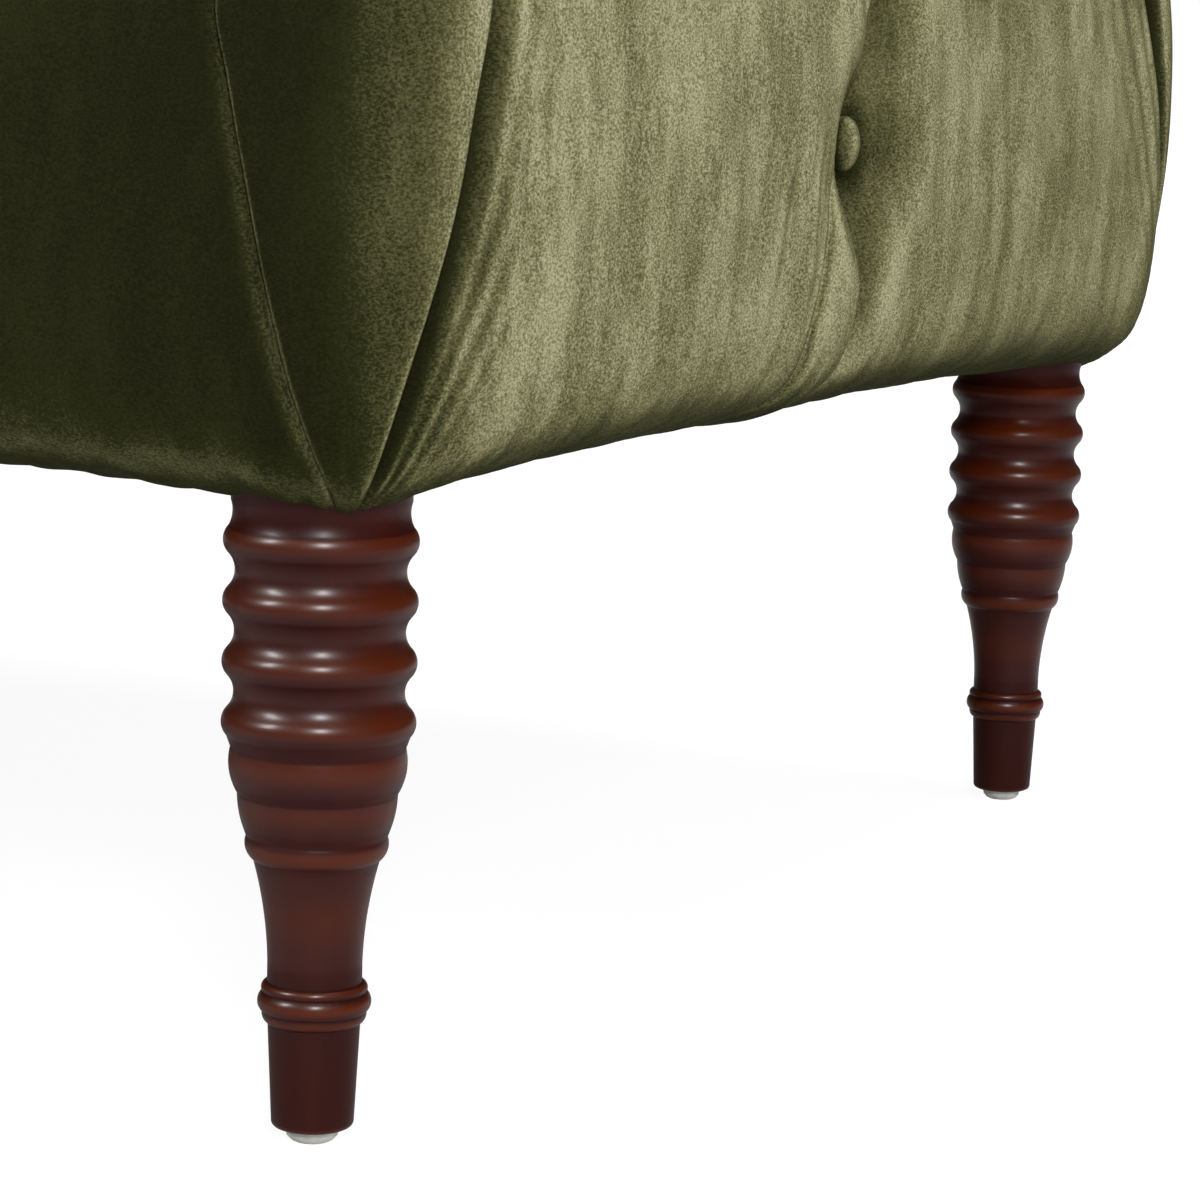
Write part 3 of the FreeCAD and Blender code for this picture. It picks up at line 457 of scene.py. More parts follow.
def baseFolds(p, s):
    fold = baseSwell(p, s)
    fold += folds["crinkle"] * noise.noise(Vector((p * 60.0, s * 9.0, 3.0)))
    if s >= ringS:
        return fold
    z = heightAt(s)
    around = abs(p)
    gap = cornerFoot(z) - around
    if gap > 0.0:  # soft ridges that fan out of the corner's tip
        fan = gap / (max(s - tipS, 0.0) + 0.02)
        ridge = math.cos(2 * math.pi * (fan - folds["fanStart"]) / folds["fanPitch"])
        fold -= folds["fan"] * ridge * math.exp(-fan / 0.22) * ramp(0.06, 0.15, fan)
    low = ramp(0.222, 0.199, z)  # gathers along the hem
    fold += low * folds["gather"] * noise.noise(Vector((p * 95.0, z * 20.0, 8.0)))
    fold += low * folds["fineGather"] * noise.noise(Vector((p * 240.0, 0.0, 1.0)))
    if around < 0.15 and z < base["buttonZ"]:  # the second tuck beside the foot's pleat
        tuck = p - centreTuck(z)
        fade = ramp(0.288, 0.262, z)
        fold += fade * folds["tuck"] * math.exp(-abs(tuck) / folds["tuckWidth"])
        fold -= fade * folds["tuckLip"] * ramp(-0.002, 0.012, tuck) * ramp(0.045, 0.02, tuck)
        crest = centreLine(z) - folds["creaseInset"] - p  # a crease just inside the pleat's edge
        fold += folds["crease"] * ramp(0.199, 0.206, z) * math.exp(-(crest / folds["creaseWidth"]) ** 2)
        streak = ramp(0.0, -0.012, tuck) * ramp(-0.10, -0.03, tuck) * ramp(0.21, 0.25, z)
        fold += streak * folds["streak"] * noise.noise(Vector((tuck * 120.0, z * 14.0, 5.0)))
    return fold


wallLow = [buttonS * i / 46 for i in range(47)]
wallHigh = [buttonS + (ringS - buttonS) * i / 44 for i in range(1, 45)]
topLevels = [ringS + pitch * i / topSteps for i in range(1, topSteps + 1)]
allLevels = wallLow + wallHigh + topLevels


def strung(pleatAt, sway, buttonP=0.0, shift=0.0):  # up a low pleat, then on a diagonal over the top
    def line(s):
        if s <= buttonS:
            return pleatAt(s)
        if s <= ringS:
            t = (s - buttonS) / (ringS - buttonS)
            return buttonP + shift * (1 - t) + sway * pitch * t * t
        return buttonP + sway * (pitch + s - ringS)
    return line


def inward(buttonP, sway, shift=0.0):  # the diagonal above a low button, which turns back beyond the ring
    def line(s):
        if s <= ringS:
            t = max(s - buttonS, 0.0) / (ringS - buttonS)
            return buttonP + shift * (1 - t) + sway * pitch * t * t
        return buttonP + sway * (pitch - (s - ringS))
    return line


def topTent():
    return tent(ringS, ringS + pitch, base["topDepth"], base["midDepth"], base["depthFade"])


def pleatDepth(waist):
    below = through([(0.0, 0.0), (runAt(0.1955), 0.0), (runAt(0.2), 0.0004), (runAt(0.2035), 0.0016),
                     (runAt(0.211), 0.0045), (runAt(0.225), waist * 0.72), (runAt(0.248), waist),
                     (buttonS - 0.012, base["lowDepth"] * 0.92), (buttonS, base["lowDepth"])])
    diagonal = tent(buttonS, ringS, base["lowDepth"], 0.0135, 0.022)
    over = topTent()

    def depth(s):
        if s <= buttonS:
            return below(s)
        if s <= ringS:
            share = (s - buttonS) / (ringS - buttonS)
            return diagonal(s) + (base["topDepth"] - base["lowDepth"]) * share ** 4
        return over(s)
    return depth


def cornerDepth(tip, waist, top):
    wall = through([(0.0, 0.0), (tipS, tip), (runAt(0.25), waist), (runAt(0.33), top),
                    (ringS - 0.02, top + 0.002), (ringS, base["topDepth"])])
    over = topTent()
    return lambda s: wall(s) if s <= ringS else over(s)


def widening(low, high, top=base["topReach"]):  # reach of a fold, widest at the low button
    more = high - low
    return through([(0.0, low), (runAt(0.238), low), (buttonS - 0.006, high), (buttonS + 0.008, high),
                    (buttonS + 0.045, low + more * 0.25), (ringS - 0.03, low + more * 0.4), (ringS, top),
                    (ringS + pitch, top)])


def toTop(knots):  # reach of a corner fold, the same as the tufting's from the ring on
    return through(knots + [(ringS, base["topReach"]), (ringS + pitch, base["topReach"])])


fanReach = toTop([(0.0, 0.0035), (tipS, 0.0035), (runAt(0.25), 0.0080), (runAt(0.33), 0.0150)])
cornerReach = toTop([(0.0, 0.006), (runAt(0.33), 0.0125)])
lowDimple = (base["lowDepth"], 0.0115, 0.034)  # depth, flat radius, outer radius
topDimple = (base["topDepth"], 0.0095, 0.026)


def rowY(row):
    return edgeY + row * pitch


def buttonXs(row):  # each row sits between the buttons of the next
    return [column * pitch for column in range(-3, 4) if (column + row) % 2]


sideButtons = [y - edgeY + cornerP for y in base["sideRows"]]
treeRows = [(baseChart(base["footShift"] - base["overlap"], buttonS), lowDimple)]  # under the upper fold
for place in sideButtons:
    for side in (-1, 1):
        treeRows.append((baseChart(side * (place - base["overlap"]), buttonS), lowDimple))
for row in range(base["rows"]):
    treeRows += [(topChart(x, rowY(row)), topDimple) for x in buttonXs(row)]
baseTree = buttonTree(treeRows)
bm = bmesh.new()


def goreFolds(p, s):  # the corner's gore is puffed, most near the foot
    z = heightAt(min(s, ringS))
    low, high = cornerFoot(z), cornerSide(z)
    w = min(max((abs(p) - low) / (high - low), 0.0), 1.0)
    puff = base["gorePuff"] * (high - low) * ramp(0.194, 0.220, z) * ramp(0.43, 0.38, z)
    along = w / base["gorePeak"]
    return baseFolds(p, s) - puff * along * math.exp(1 - along) * (1 - w)


def addPanel(side, levels, inner, outer, innerEdge, outerEdge, columns, extra=baseFolds):
    if side > 0:
        addStrip(bm, baseChart, levels, inner, outer, innerEdge, outerEdge, columns, extra, baseTree)
    else:
        addStrip(bm, baseChart, levels, lambda s: -outer(s), lambda s: -inner(s), outerEdge, innerEdge,
                 columns, extra, baseTree)


def cornerLine(knots, ringP, sway):
    def line(s):
        if s <= ringS:
            return knots(heightAt(s))
        return ringP + sway * (s - ringS)
    return line


footDepth = pleatDepth(0.0125)
sideDepth = pleatDepth(0.0110)
footCorner = cornerDepth(0.001, 0.006, 0.0095)
sideCorner = cornerDepth(0.0008, 0.0052, 0.0068)
cornerFold = edge(sideCorner, cornerReach, lip)
overFold = edge(sideDepth, widening(0.008, 0.070), lip)
underFold = edge(sideDepth, widening(0.030, 0.050, 0.05), slope)
rearEdge = edge(steady(0.007), steady(0.012), lip)
footDiamond = edge(footDepth, widening(0.03, 0.035), lip)
sideDiamond = edge(sideDepth, widening(0.03, 0.035), lip)
diamondLevels = [buttonS] + wallHigh + topLevels
rearP = base["rear"] - edgeY + cornerP
for side in (-1, 1):
    footInner = strung(lambda s, side=side: side * centreLine(heightAt(s)), 1.0, 0.0,
                       side * base["footShift"])
    footOuter = cornerLine(cornerFoot, edgeX, -1.0)
    if side < 0:  # the left half laps over the right
        innerFall, columns = edge(footDepth, widening(0.006, 0.070), lip), 210
    else:
        innerFall, columns = edge(footDepth, widening(0.030, 0.052, 0.05), slope), 130
    addPanel(side, allLevels, footInner, footOuter, innerFall, edge(footCorner, fanReach, slope), columns)
    addPanel(side, wallLow + wallHigh, cornerLine(cornerFoot, 0, 0), cornerLine(cornerSide, 0, 0),
             edge(footCorner, steady(0.004), lip), edge(sideCorner, steady(0.003), lip), 72, goreFolds)
    lines = [cornerLine(cornerSide, cornerP, 1.0)]
    for place in sideButtons:
        lines += [strung(steady(place), -1.0, place), strung(steady(place), 1.0, place)]
    addPanel(side, allLevels, lines[0], lines[1], cornerFold, overFold, 96)
    addPanel(side, allLevels, lines[2], lines[3], underFold, overFold, 90)
    addPanel(side, allLevels, lines[4], lines[5], underFold, overFold, 90)
    addPanel(side, wallLow + wallHigh, lines[6], steady(rearP), underFold, rearEdge, 70)
    for place in sideButtons:
        addPanel(side, diamondLevels, inward(place, -1.0), inward(place, 1.0), sideDiamond, sideDiamond, 36)
addStrip(bm, baseChart, diamondLevels, inward(0.0, -1.0, base["footShift"]),
         inward(0.0, 1.0, base["footShift"]), footDiamond, footDiamond, 36, baseFolds, baseTree)
print("base panels made,", len(bm.verts), "vertices")


def stepped(nodes):  # straight lines through the (level, place) nodes
    levels = [n[0] for n in nodes]

    def line(s):
        i = min(max(bisect.bisect_right(levels, s) - 1, 0), len(nodes) - 2)
        (s0, u0), (s1, u1) = nodes[i], nodes[i + 1]
        return u0 + (u1 - u0) * (s - s0) / (s1 - s0)
    return line


def fork(x0, *knots):  # two lines that part and meet again, by level and pitches away from x0
    return [stepped([(level, x0 + side * share * pitch) for level, share in knots]) for side in (-1, 1)]


def tufted(*levels):  # a puffed edge whose pleat passes a button at each level
    def depth(s):
        gap = min(abs(s - level) for level in levels)
        return base["midDepth"] + (base["topDepth"] - base["midDepth"]) * math.exp(-gap / base["depthFade"])
    return edge(depth, steady(base["topReach"]), lip)


def addTuft(levels, left, right, puff, columns=28):
    addStrip(bm, topChart, levels, left, right, puff, puff, columns, topFolds, baseTree)


step = pitch / topSteps
for row in range(1, base["rows"] - 1):
    for column in range(-2, 3):
        if (column + row) % 2:
            continue
        y0, y1, y2 = rowY(row - 1), rowY(row), rowY(row + 1)
        levels = [y0 + step * i for i in range(2 * topSteps + 1)]
        addTuft(levels, *fork(column * pitch, (y0, 0), (y1, 1), (y2, 0)), tufted(y0, y1, y2))
lastRow = base["rows"] - 1
y0, y1 = rowY(lastRow - 1), rowY(lastRow)
rearSteps = round((base["crease"] - y1) / step)
rearPuff = tufted(y0, y1)
levels = [y0 + step * i for i in range(topSteps + rearSteps + 1)]
for column in (-1, 1):
    addTuft(levels, *fork(column * pitch, (y0, 0), (y1, 1), (y1 + 1, 1)), rearPuff)
levels = [y1 + step * i for i in range(rearSteps + 1)]
innerLeft, innerRight = fork(0.0, (y1, 2), (y1 + 1, 2))
outerLeft, outerRight = fork(0.0, (y1, 2), (y1 + pitch, 3), (y1 + pitch + 1, 3))
addTuft(levels, innerRight, outerRight, rearPuff, 24)
addTuft(levels, outerLeft, innerLeft, rearPuff, 24)
bmesh.ops.remove_doubles(bm, verts=bm.verts, dist=0.00006)
bmesh.ops.dissolve_degenerate(bm, edges=bm.edges, dist=0.00001)
seatCover = newObject("seatCover", bm, 75.0)
dress(seatCover, velvet, "velvet", "seat_cover", "foot_pad", "side_pad_left", "side_pad_right", "seat_foam")
print("seat cover", len(seatCover.data.polygons), "faces")


# Covered buttons
button = {
    "radius": 0.0098, "rim": 0.0026, "rise": 0.0072, "segments": 28, "rings": 9,
    "sunk": 0.0152, "lowSunk": 0.0182, "seatZ": 0.4140,
}


def spin(bm, verts, steps):
    edges = [bm.edges.new(pair) for pair in zip(verts, verts[1:])]
    bmesh.ops.spin(bm, geom=verts + edges, cent=(0, 0, 0), axis=(0, 0, 1), angle=2 * math.pi,
                   steps=steps, use_merge=True)


def buttonShape():
    radius, rim, dome = button["radius"], button["rim"], button["rise"] - button["rim"]
    outline = [(0.0, button["rise"])]
    for i in range(1, button["rings"] + 1):
        turn = math.pi / 2 * i / button["rings"]
        outline.append((radius * math.sin(turn), rim + dome * math.cos(turn)))
    outline += [(radius * 0.985, 0.0012), (radius * 0.9, -0.001), (0.0, -0.001)]
    bm = bmesh.new()
    spin(bm, [bm.verts.new((r, 0.0, z)) for r, z in outline], button["segments"])
    bmesh.ops.remove_doubles(bm, verts=bm.verts, dist=0.00002)
    shape = bpy.data.meshes.new("buttonShape")
    bm.to_mesh(shape)
    bm.free()
    return shape


coveredButton = buttonShape()
up = Vector((0, 0, 1))


def addButton(bm, at, out):
    first = len(bm.verts)
    bm.from_mesh(coveredButton)
    bm.verts.ensure_lookup_table()
    matrix = Matrix.Translation(at) @ up.rotation_difference(out).to_matrix().to_4x4()
    bmesh.ops.transform(bm, matrix=matrix, verts=bm.verts[first:])


def buttonPiece(name, node, places):
    bm = bmesh.new()
    for at, out in places:
        addButton(bm, at, out)
    bmesh.ops.recalc_face_normals(bm, faces=bm.faces)
    piece = newObject(name, bm)
    dress(piece, buttonVelvet, "button_velvet", node)


seatPlaces = [(Vector((x, rowY(row), button["seatZ"])), up)
              for row in range(base["rows"]) for x in buttonXs(row)]
buttonPiece("seatButtons", "seat_buttons", seatPlaces)
footY = edgeY - base["footReach"] + button["lowSunk"]
sideX = edgeX + base["sideReach"] - button["lowSunk"]
footPlace = Vector((base["footShift"], footY, base["buttonZ"]))
buttonPiece("footButton", "foot_button", [(footPlace, Vector((0, -1, 0)))])
for side, name in ((-1, "Left"), (1, "Right")):
    out = Vector((side, 0, 0))
    places = [(Vector((side * sideX, y, base["buttonZ"])), out) for y in base["sideRows"]]
    buttonPiece("sideButtons" + name, "side_buttons_" + name.lower(), places)
print("buttons made")


# Turned legs and glides
leg = {
    "height": 0.200, "topRadius": 0.0262, "topBand": 0.0152, "bead": 0.0283, "cove": 0.0248,
    "pitch": 0.0177, "beadShare": 0.42, "barrel": 0.0260, "barrelFoot": 0.0234, "barrelHeight": 0.0135,
    "lowerFoot": 0.0206, "lowerHeight": 0.0127, "ring": 0.0210, "ringFoot": 0.0185, "ringHeight": 0.0070,
    "neck": 0.0139, "collar": 0.0167, "collarHeight": 0.0124, "footTop": 0.0136, "footBase": 0.0122,
    "footLength": 0.0313, "glide": 0.0080, "glideHeight": 0.0044,
    "places": {"foot_left": (-0.298, -0.723), "foot_right": (0.298, -0.723),
               "head_left": (-0.298, 0.612), "head_right": (0.298, 0.612)},
}


def arcPoints(start, middle, end, count):
    ax, az = start
    bx, bz = middle
    cx, cz = end
    d = 2 * (ax * (bz - cz) + bx * (cz - az) + cx * (az - bz))
    if abs(d) < 1e-12:
        return [(ax + (cx - ax) * i / count, az + (cz - az) * i / count) for i in range(1, count + 1)]
    a2, b2, c2 = ax * ax + az * az, bx * bx + bz * bz, cx * cx + cz * cz
    ux = (a2 * (bz - cz) + b2 * (cz - az) + c2 * (az - bz)) / d
    uz = (a2 * (cx - bx) + b2 * (ax - cx) + c2 * (bx - ax)) / d
    radius = math.hypot(ax - ux, az - uz)
    one = math.atan2(az - uz, ax - ux)
    two = math.atan2(cz - uz, cx - ux)
    mid = math.atan2(bz - uz, bx - ux)
    sweep = (two - one) % (2 * math.pi)
    if (mid - one) % (2 * math.pi) > sweep:
        sweep -= 2 * math.pi
    return [(ux + radius * math.cos(one + sweep * i / count), uz + radius * math.sin(one + sweep * i / count))
            for i in range(1, count + 1)]


def legOutline():  # (radius, height, painted shade) from the top down; high values paint shade, low values paint amber light
    line = []
    middle = leg["cove"] + (leg["bead"] - leg["cove"]) * (1 - leg["beadShare"])
    z = leg["height"]
    # the top band is dark as painted shadow under the seat's hem
    line += [(leg["topRadius"], z, 1.0), (leg["topRadius"], z - leg["topBand"] + 0.0050, 0.8)]
    z -= leg["topBand"] + leg["pitch"] * (0.375 - leg["beadShare"] / 2)
    flare = arcPoints(line[-1][:2], (leg["topRadius"] - 0.0003, z + 0.0024), (middle, z), 10)
    line += [(r, h, 0.8 - 0.03 * i) for i, (r, h) in enumerate(flare)]

    def arc(middlePoint, end, paintedShades, count=14):  # painted shade at its start, its end and, doubled, its middle
        first, last, mid = paintedShades
        for i, (r, h) in enumerate(arcPoints(line[-1][:2], middlePoint, end, count), 1):
            t = i / count
            line.append((r, h, first * (1 - t) + last * t - 2 * t * (1 - t) * (first + last - mid)))

    rise = leg["pitch"] * leg["beadShare"]
    fall = leg["pitch"] - rise
    # each bead: painted amber light on its upward slope, painted shade on its downward side; each cove:
    # painted shade on its downward part, painted light on its upward part
    for number in range(4):
        arc((leg["bead"], z - rise / 2), (middle, z - rise), (0.06, 0.55, 0.26))
        z -= rise
        if number < 3:
            arc((leg["cove"], z - fall / 2), (middle, z - fall), (0.6, 0.06, 0.64))
            z -= fall
    z -= leg["pitch"] * (0.625 - leg["beadShare"])
    # painted light and shade go on over the barrel, ring, neck, collar and foot
    line.append((leg["barrel"] - 0.0005, z, 0.9))
    high = leg["barrelHeight"]
    arc((leg["barrel"], z - high * 0.35), (leg["barrelFoot"], z - high), (0.1, 0.8, 0.35))
    z -= high
    high = leg["lowerHeight"]
    mean = (leg["barrelFoot"] + leg["lowerFoot"]) / 2 + 0.0006
    arc((mean, z - high * 0.52), (leg["lowerFoot"], z - high), (0.2, 0.8, 0.4))
    z -= high
    high = leg["ringHeight"]
    arc((leg["ring"], z - high * 0.33), (leg["ringFoot"], z - high), (0.5, 0.5, 0.0))
    z -= high
    high = leg["collarHeight"]
    sole = leg["glideHeight"]
    collarTop = sole + leg["footLength"] + high
    neck = leg["neck"]
    waist = collarTop + (z - collarTop) * 0.16
    arc((neck + (leg["ringFoot"] - neck) * 0.29, waist + (z - waist) * 0.5), (neck, waist), (0.5, 0.4, 0.34))
    line.append((neck, collarTop, 0.9))
    stepR = (leg["collar"] + neck) / 2
    arc((stepR + 0.0003, collarTop - high * 0.12), (stepR, collarTop - high * 0.24), (0.5, 0.9, 0.1), 8)
    arc((leg["collar"], collarTop - high * 0.46), (stepR, collarTop - high * 0.72), (0.5, 0.8, 0.0))
    arc((stepR - 0.0001, collarTop - high * 0.86), (leg["footTop"], collarTop - high), (0.5, 0.8, 0.1), 8)
    foot = leg["footBase"]
    line.append((foot, sole + 0.0018, 0.5))
    arc((foot - 0.0005, sole + 0.0005), (foot - 0.0018, sole), (0.2, 0.6, 0.3), 5)
    line.append((0.0, sole, 0.6))
    return [(0.0, leg["height"], 0.1)] + line


def spunPiece(name, outline, x, y, steps):
    bm = bmesh.new()
    layer = bm.verts.layers.float.new("paintedShade")
    verts = []
    for r, z, paintedShade in outline:
        vert = bm.verts.new(Vector((r, 0.0, z)))
        vert[layer] = min(max(paintedShade, 0.0), 1.0)
        verts.append(vert)
    spin(bm, verts, steps)
    bmesh.ops.remove_doubles(bm, verts=bm.verts, dist=0.000005)
    bmesh.ops.recalc_face_normals(bm, faces=bm.faces)
    bmesh.ops.translate(bm, verts=bm.verts, vec=Vector((x, y, 0.0)))
    return newObject(name, bm, 42.0)


glideShape = ((0.0, leg["glideHeight"] + 0.0004), (0.97, leg["glideHeight"] + 0.0004),
              (1.0, leg["glideHeight"] - 0.0003), (0.95, 0.0018), (0.80, 0.0005), (0.68, 0.0), (0.0, 0.0))
glideOutline = [(leg["glide"] * share, z, 0.0) for share, z in glideShape]
outline = legOutline()
glideMesh = bmesh.new()
for name, (x, y) in leg["places"].items():
    turned = spunPiece("leg_" + name, outline, x, y, 96)
    dress(turned, lacquer, "lacquered_wood", "leg_" + name)
    part = spunPiece("glide_" + name, glideOutline, x, y, 48)
    glideMesh.from_mesh(part.data)
    bpy.data.objects.remove(part)
glides = newObject("glides", glideMesh, 42.0)
dress(glides, slotMaterials["glide_plastic"], "glide_plastic", "glides")
print("legs made")


# Back: cover over the rake and the roll, facings, welts and outside panel
back = {
    "y": 0.690, "z": 0.763, "radius": 0.090, "rake": math.radians(24.0), "foot": 0.403, "half": 0.347,
    "loft": 0.003, "firstRow": 0.062, "tuckIn": 0.012, "depth": 0.0205, "channel": 0.010, "rear": 0.643,
    "endAngle": -112.9,
}
upBack = Vector((0.0, math.sin(back["rake"]), math.cos(back["rake"])))
outFront = Vector((0.0, -math.cos(back["rake"]), math.sin(back["rake"])))
rollCentre = Vector((0.0, back["y"], back["z"]))
rollStart = rollCentre + outFront * back["radius"]
backRun = (rollStart.z - back["foot"]) / upBack.z
frontAngle = math.pi - back["rake"]
rollRun = back["radius"] * (frontAngle - math.radians(back["endAngle"]))


def onRoll(radius, angle):
    return rollCentre + Vector((0.0, math.cos(angle), math.sin(angle))) * radius


def backChart(x, q):  # q runs up the front from the seat, then round the roll
    if q <= backRun:
        at = rollStart - upBack * (backRun - q) + outFront * back["loft"]
    else:
        at = onRoll(back["radius"] + back["loft"], frontAngle - (q - backRun) / back["radius"])
    return at + Vector((x, 0.0, 0.0))


backFolds = swell(backChart)
rowQ = [back["firstRow"] + pitch * row for row in range(3)]
endQ = backRun + rollRun
low = [(rowQ[0] + back["tuckIn"]) * i / 16 - back["tuckIn"] for i in range(17)]
middle = [rowQ[0] + step * i for i in range(1, 2 * topSteps + 1)]
high = [rowQ[2] + (endQ - rowQ[2]) * i / 110 for i in range(1, 111)]
toRow1 = low + middle[:topSteps]
fromRow1 = [rowQ[1]] + middle[topSteps:] + high
allQ = low + middle + high
deep, shallow, channel = back["depth"], base["midDepth"], back["channel"]
channelFade = through([(0.0, shallow), (rowQ[0], deep), (rowQ[0] + pitch / 2, shallow), (rowQ[1], deep),
                       (rowQ[1] + pitch / 2, shallow), (rowQ[2], deep), (rowQ[2] + 0.05, channel),
                       (endQ - 0.05, channel), (endQ, 0.004)])
backTree = buttonTree([(backChart(x, rowQ[row]), (deep, 0.0095, 0.026))
                       for row in range(3) for x in buttonXs(row)])
backPuff = edge(channelFade, steady(0.042), lip)
backRim = edge(steady(0.012), steady(0.022), lip)
bm = bmesh.new()


def addBack(levels, left, right, columns=30, leftEdge=backPuff, rightEdge=backPuff):
    addStrip(bm, backChart, levels, left, right, leftEdge, rightEdge, columns, backFolds, backTree)


for column in (-2, 0, 2):
    addBack(toRow1, *fork(column * pitch, (-1, 1), (rowQ[0], 1), (rowQ[1], 0)))
    addBack(fromRow1, *fork(column * pitch, (rowQ[1], 0), (rowQ[2], 1), (9, 1)))
for column in (-1, 1):
    addBack([rowQ[0]] + middle, *fork(column * pitch, (rowQ[0], 0), (rowQ[1], 1), (rowQ[2], 0)), 28)
innerLeft, innerRight = fork(0.0, (-1, 3), (rowQ[0], 3), (rowQ[1], 2), (rowQ[2], 3), (9, 3))
addBack(allQ, innerRight, steady(back["half"]), 26, backPuff, backRim)
addBack(allQ, steady(-back["half"]), innerLeft, 26, backRim, backPuff)
bmesh.ops.remove_doubles(bm, verts=bm.verts, dist=0.00006)
bmesh.ops.dissolve_degenerate(bm, edges=bm.edges, dist=0.00001)
backCover = newObject("backCover", bm, 75.0)
dress(backCover, velvet, "velvet", "back_cover", "back_foam", "roll_stuffing")

backPlaces = []
for row in range(3):
    at = rollStart - upBack * (backRun - rowQ[row]) - outFront * button["sunk"]
    backPlaces += [(at + Vector((x, 0, 0)), outFront) for x in buttonXs(row)]
buttonPiece("backButtons", "back_buttons", backPlaces)


facing = {
    "x": 0.3455, "crown": 0.0065, "rolled": 0.03, "topRun": 0.45, "tuck": 0.011, "tuckRun": 0.6,
    "tuckRoll": 0.016, "ripple": 0.0012, "frontTurn": 0.62, "rearTurn": 0.5, "end": math.radians(40.0),
    "rearGap": 0.0045, "heldTo": 0.3500, "swell": 0.0035,
}


def frontLine(t):  # the facing's front edge, from the seat up and over the roll
    turn = facing["frontTurn"]
    if t <= turn:
        return rollStart - upBack * backRun * (1 - t / turn)
    return onRoll(back["radius"], frontAngle + (facing["end"] - frontAngle) * (t - turn) / (1 - turn))


def rearLine(t):
    turn = facing["rearTurn"]
    under = math.acos((back["rear"] - back["y"]) / back["radius"])
    if t <= turn:
        rise = onRoll(back["radius"], -under).z - back["foot"]
        return Vector((0.0, back["rear"] + facing["rearGap"], back["foot"] + rise * t / turn))
    rim = onRoll(back["radius"], -under + (facing["end"] + under) * (t - turn) / (1 - turn))
    return rim + Vector((0.0, facing["rearGap"] * ramp(0.56, turn, t), 0.0))


def settle(piece, held, pressure, weight, cap, frames=20):  # let a held panel swell or sag as cloth
    scene = bpy.context.scene
    start = [vert.co.copy() for vert in piece.data.vertices]
    group = piece.vertex_groups.new(name="held")
    group.add(held, 1.0, "REPLACE")
    cloth = piece.modifiers.new("settle", "CLOTH")
    cloth.settings.quality = 6
    cloth.settings.mass = 0.4
    cloth.settings.tension_stiffness = 20.0
    cloth.settings.compression_stiffness = 20.0
    cloth.settings.bending_stiffness = 2.0
    cloth.settings.vertex_group_mass = "held"
    cloth.settings.use_pressure = pressure > 0
    cloth.settings.uniform_pressure_force = pressure
    cloth.settings.effector_weights.gravity = weight
    cloth.point_cache.frame_start = 1
    cloth.point_cache.frame_end = frames
    for frameNumber in range(1, frames + 1):
        scene.frame_set(frameNumber)
    shaped = piece.evaluated_get(bpy.context.evaluated_depsgraph_get())
    steps = [vert.co - first for vert, first in zip(shaped.data.vertices, start)]
    piece.modifiers.remove(cloth)
    piece.vertex_groups.remove(group)
    scene.frame_set(1)
    most = max(step.length for step in steps)
    share = min(1.0, cap / max(most, 1e-9))  # the boards and wadding behind stop it there
    for vert, first, step in zip(piece.data.vertices, start, steps):
        vert.co = first + step * share
    piece.data.update()
    print("settled", piece.name, "by up to", round(1000 * most * share, 2), "mm")


def rimOf(piece, inside):
    return [vert.index for vert in piece.data.vertices if not inside(vert.co)]


def facingPiece(name, side):
    bm = bmesh.new()
    made = bmesh.ops.create_grid(bm, x_segments=36, y_segments=110, size=0.5)
    for vert in made["verts"]:
        t = ramp(0.0, 1.0, vert.co.y + 0.5)
        across = 0.5 - 0.5 * math.cos(math.pi * (vert.co.x + 0.5))
        front, rear = frontLine(t), rearLine(t)
        width = (rear - front).length
        rise = facing["crown"]
        for gap in (across * width, (1 - across) * width, (1 - t) * facing["topRun"]):
            rise *= 1 - lip(gap / facing["rolled"])
        at = front.lerp(rear, across)
        tucked = facing["tuck"] * lip(t * facing["tuckRun"] / facing["tuckRoll"])  # its foot turns in
        at.x = side * (facing["x"] + rise - tucked + facing["ripple"] * noise.noise(at * 12.0))
        vert.co = at
    bmesh.ops.remove_doubles(bm, verts=bm.verts, dist=0.00004)
    if side > 0:
        bmesh.ops.reverse_faces(bm, faces=bm.faces)
    piece = newObject("backFacing" + name, bm, 75.0)
    dress(piece, velvet, "velvet", "back_facing_" + name.lower())
    settle(piece, rimOf(piece, lambda at: abs(at.x) > facing["heldTo"]), 1.0, 0.0, facing["swell"])


welt = {"radius": 0.0042, "x": 0.3492, "start": 0.004, "end": 0.002, "thinFoot": 0.1}


def weltPiece(name, side):
    bm = bmesh.new()
    made = bmesh.ops.create_grid(bm, x_segments=16, y_segments=150, size=0.5)
    e = 0.001
    for vert in made["verts"]:
        q = welt["start"] + (endQ - welt["end"] - welt["start"]) * (vert.co.y + 0.5)
        turn = 2 * math.pi * (vert.co.x + 0.5)
        out = Vector((1, 0, 0)).cross(backChart(0.0, q + e) - backChart(0.0, q - e)).normalized()
        centre = backChart(side * welt["x"], q) - out * (back["loft"] + welt["radius"])
        full = welt["thinFoot"] + (1 - welt["thinFoot"]) * ramp(welt["start"], 0.03, q)
        across = Vector((math.sin(turn), 0, 0))
        vert.co = centre + (out * math.cos(turn) + across) * welt["radius"] * full
    bmesh.ops.remove_doubles(bm, verts=bm.verts, dist=0.00002)
    bmesh.ops.recalc_face_normals(bm, faces=bm.faces)
    piece = newObject("facingWelt" + name, bm)
    dress(piece, buttonVelvet, "velvet", "facing_welt_" + name.lower())


for name, side in (("Left", -1), ("Right", 1)):
    facingPiece(name, side)
    weltPiece(name, side)


outer = {
    "half": 0.346, "foot": 0.1965, "top": 0.6795, "y": 0.6545, "crown": 0.003, "turnIn": 0.010,
    "ripple": 0.0010, "freeHalf": 0.325, "freeFoot": 0.218, "freeTop": 0.660, "swell": 0.0050,
}


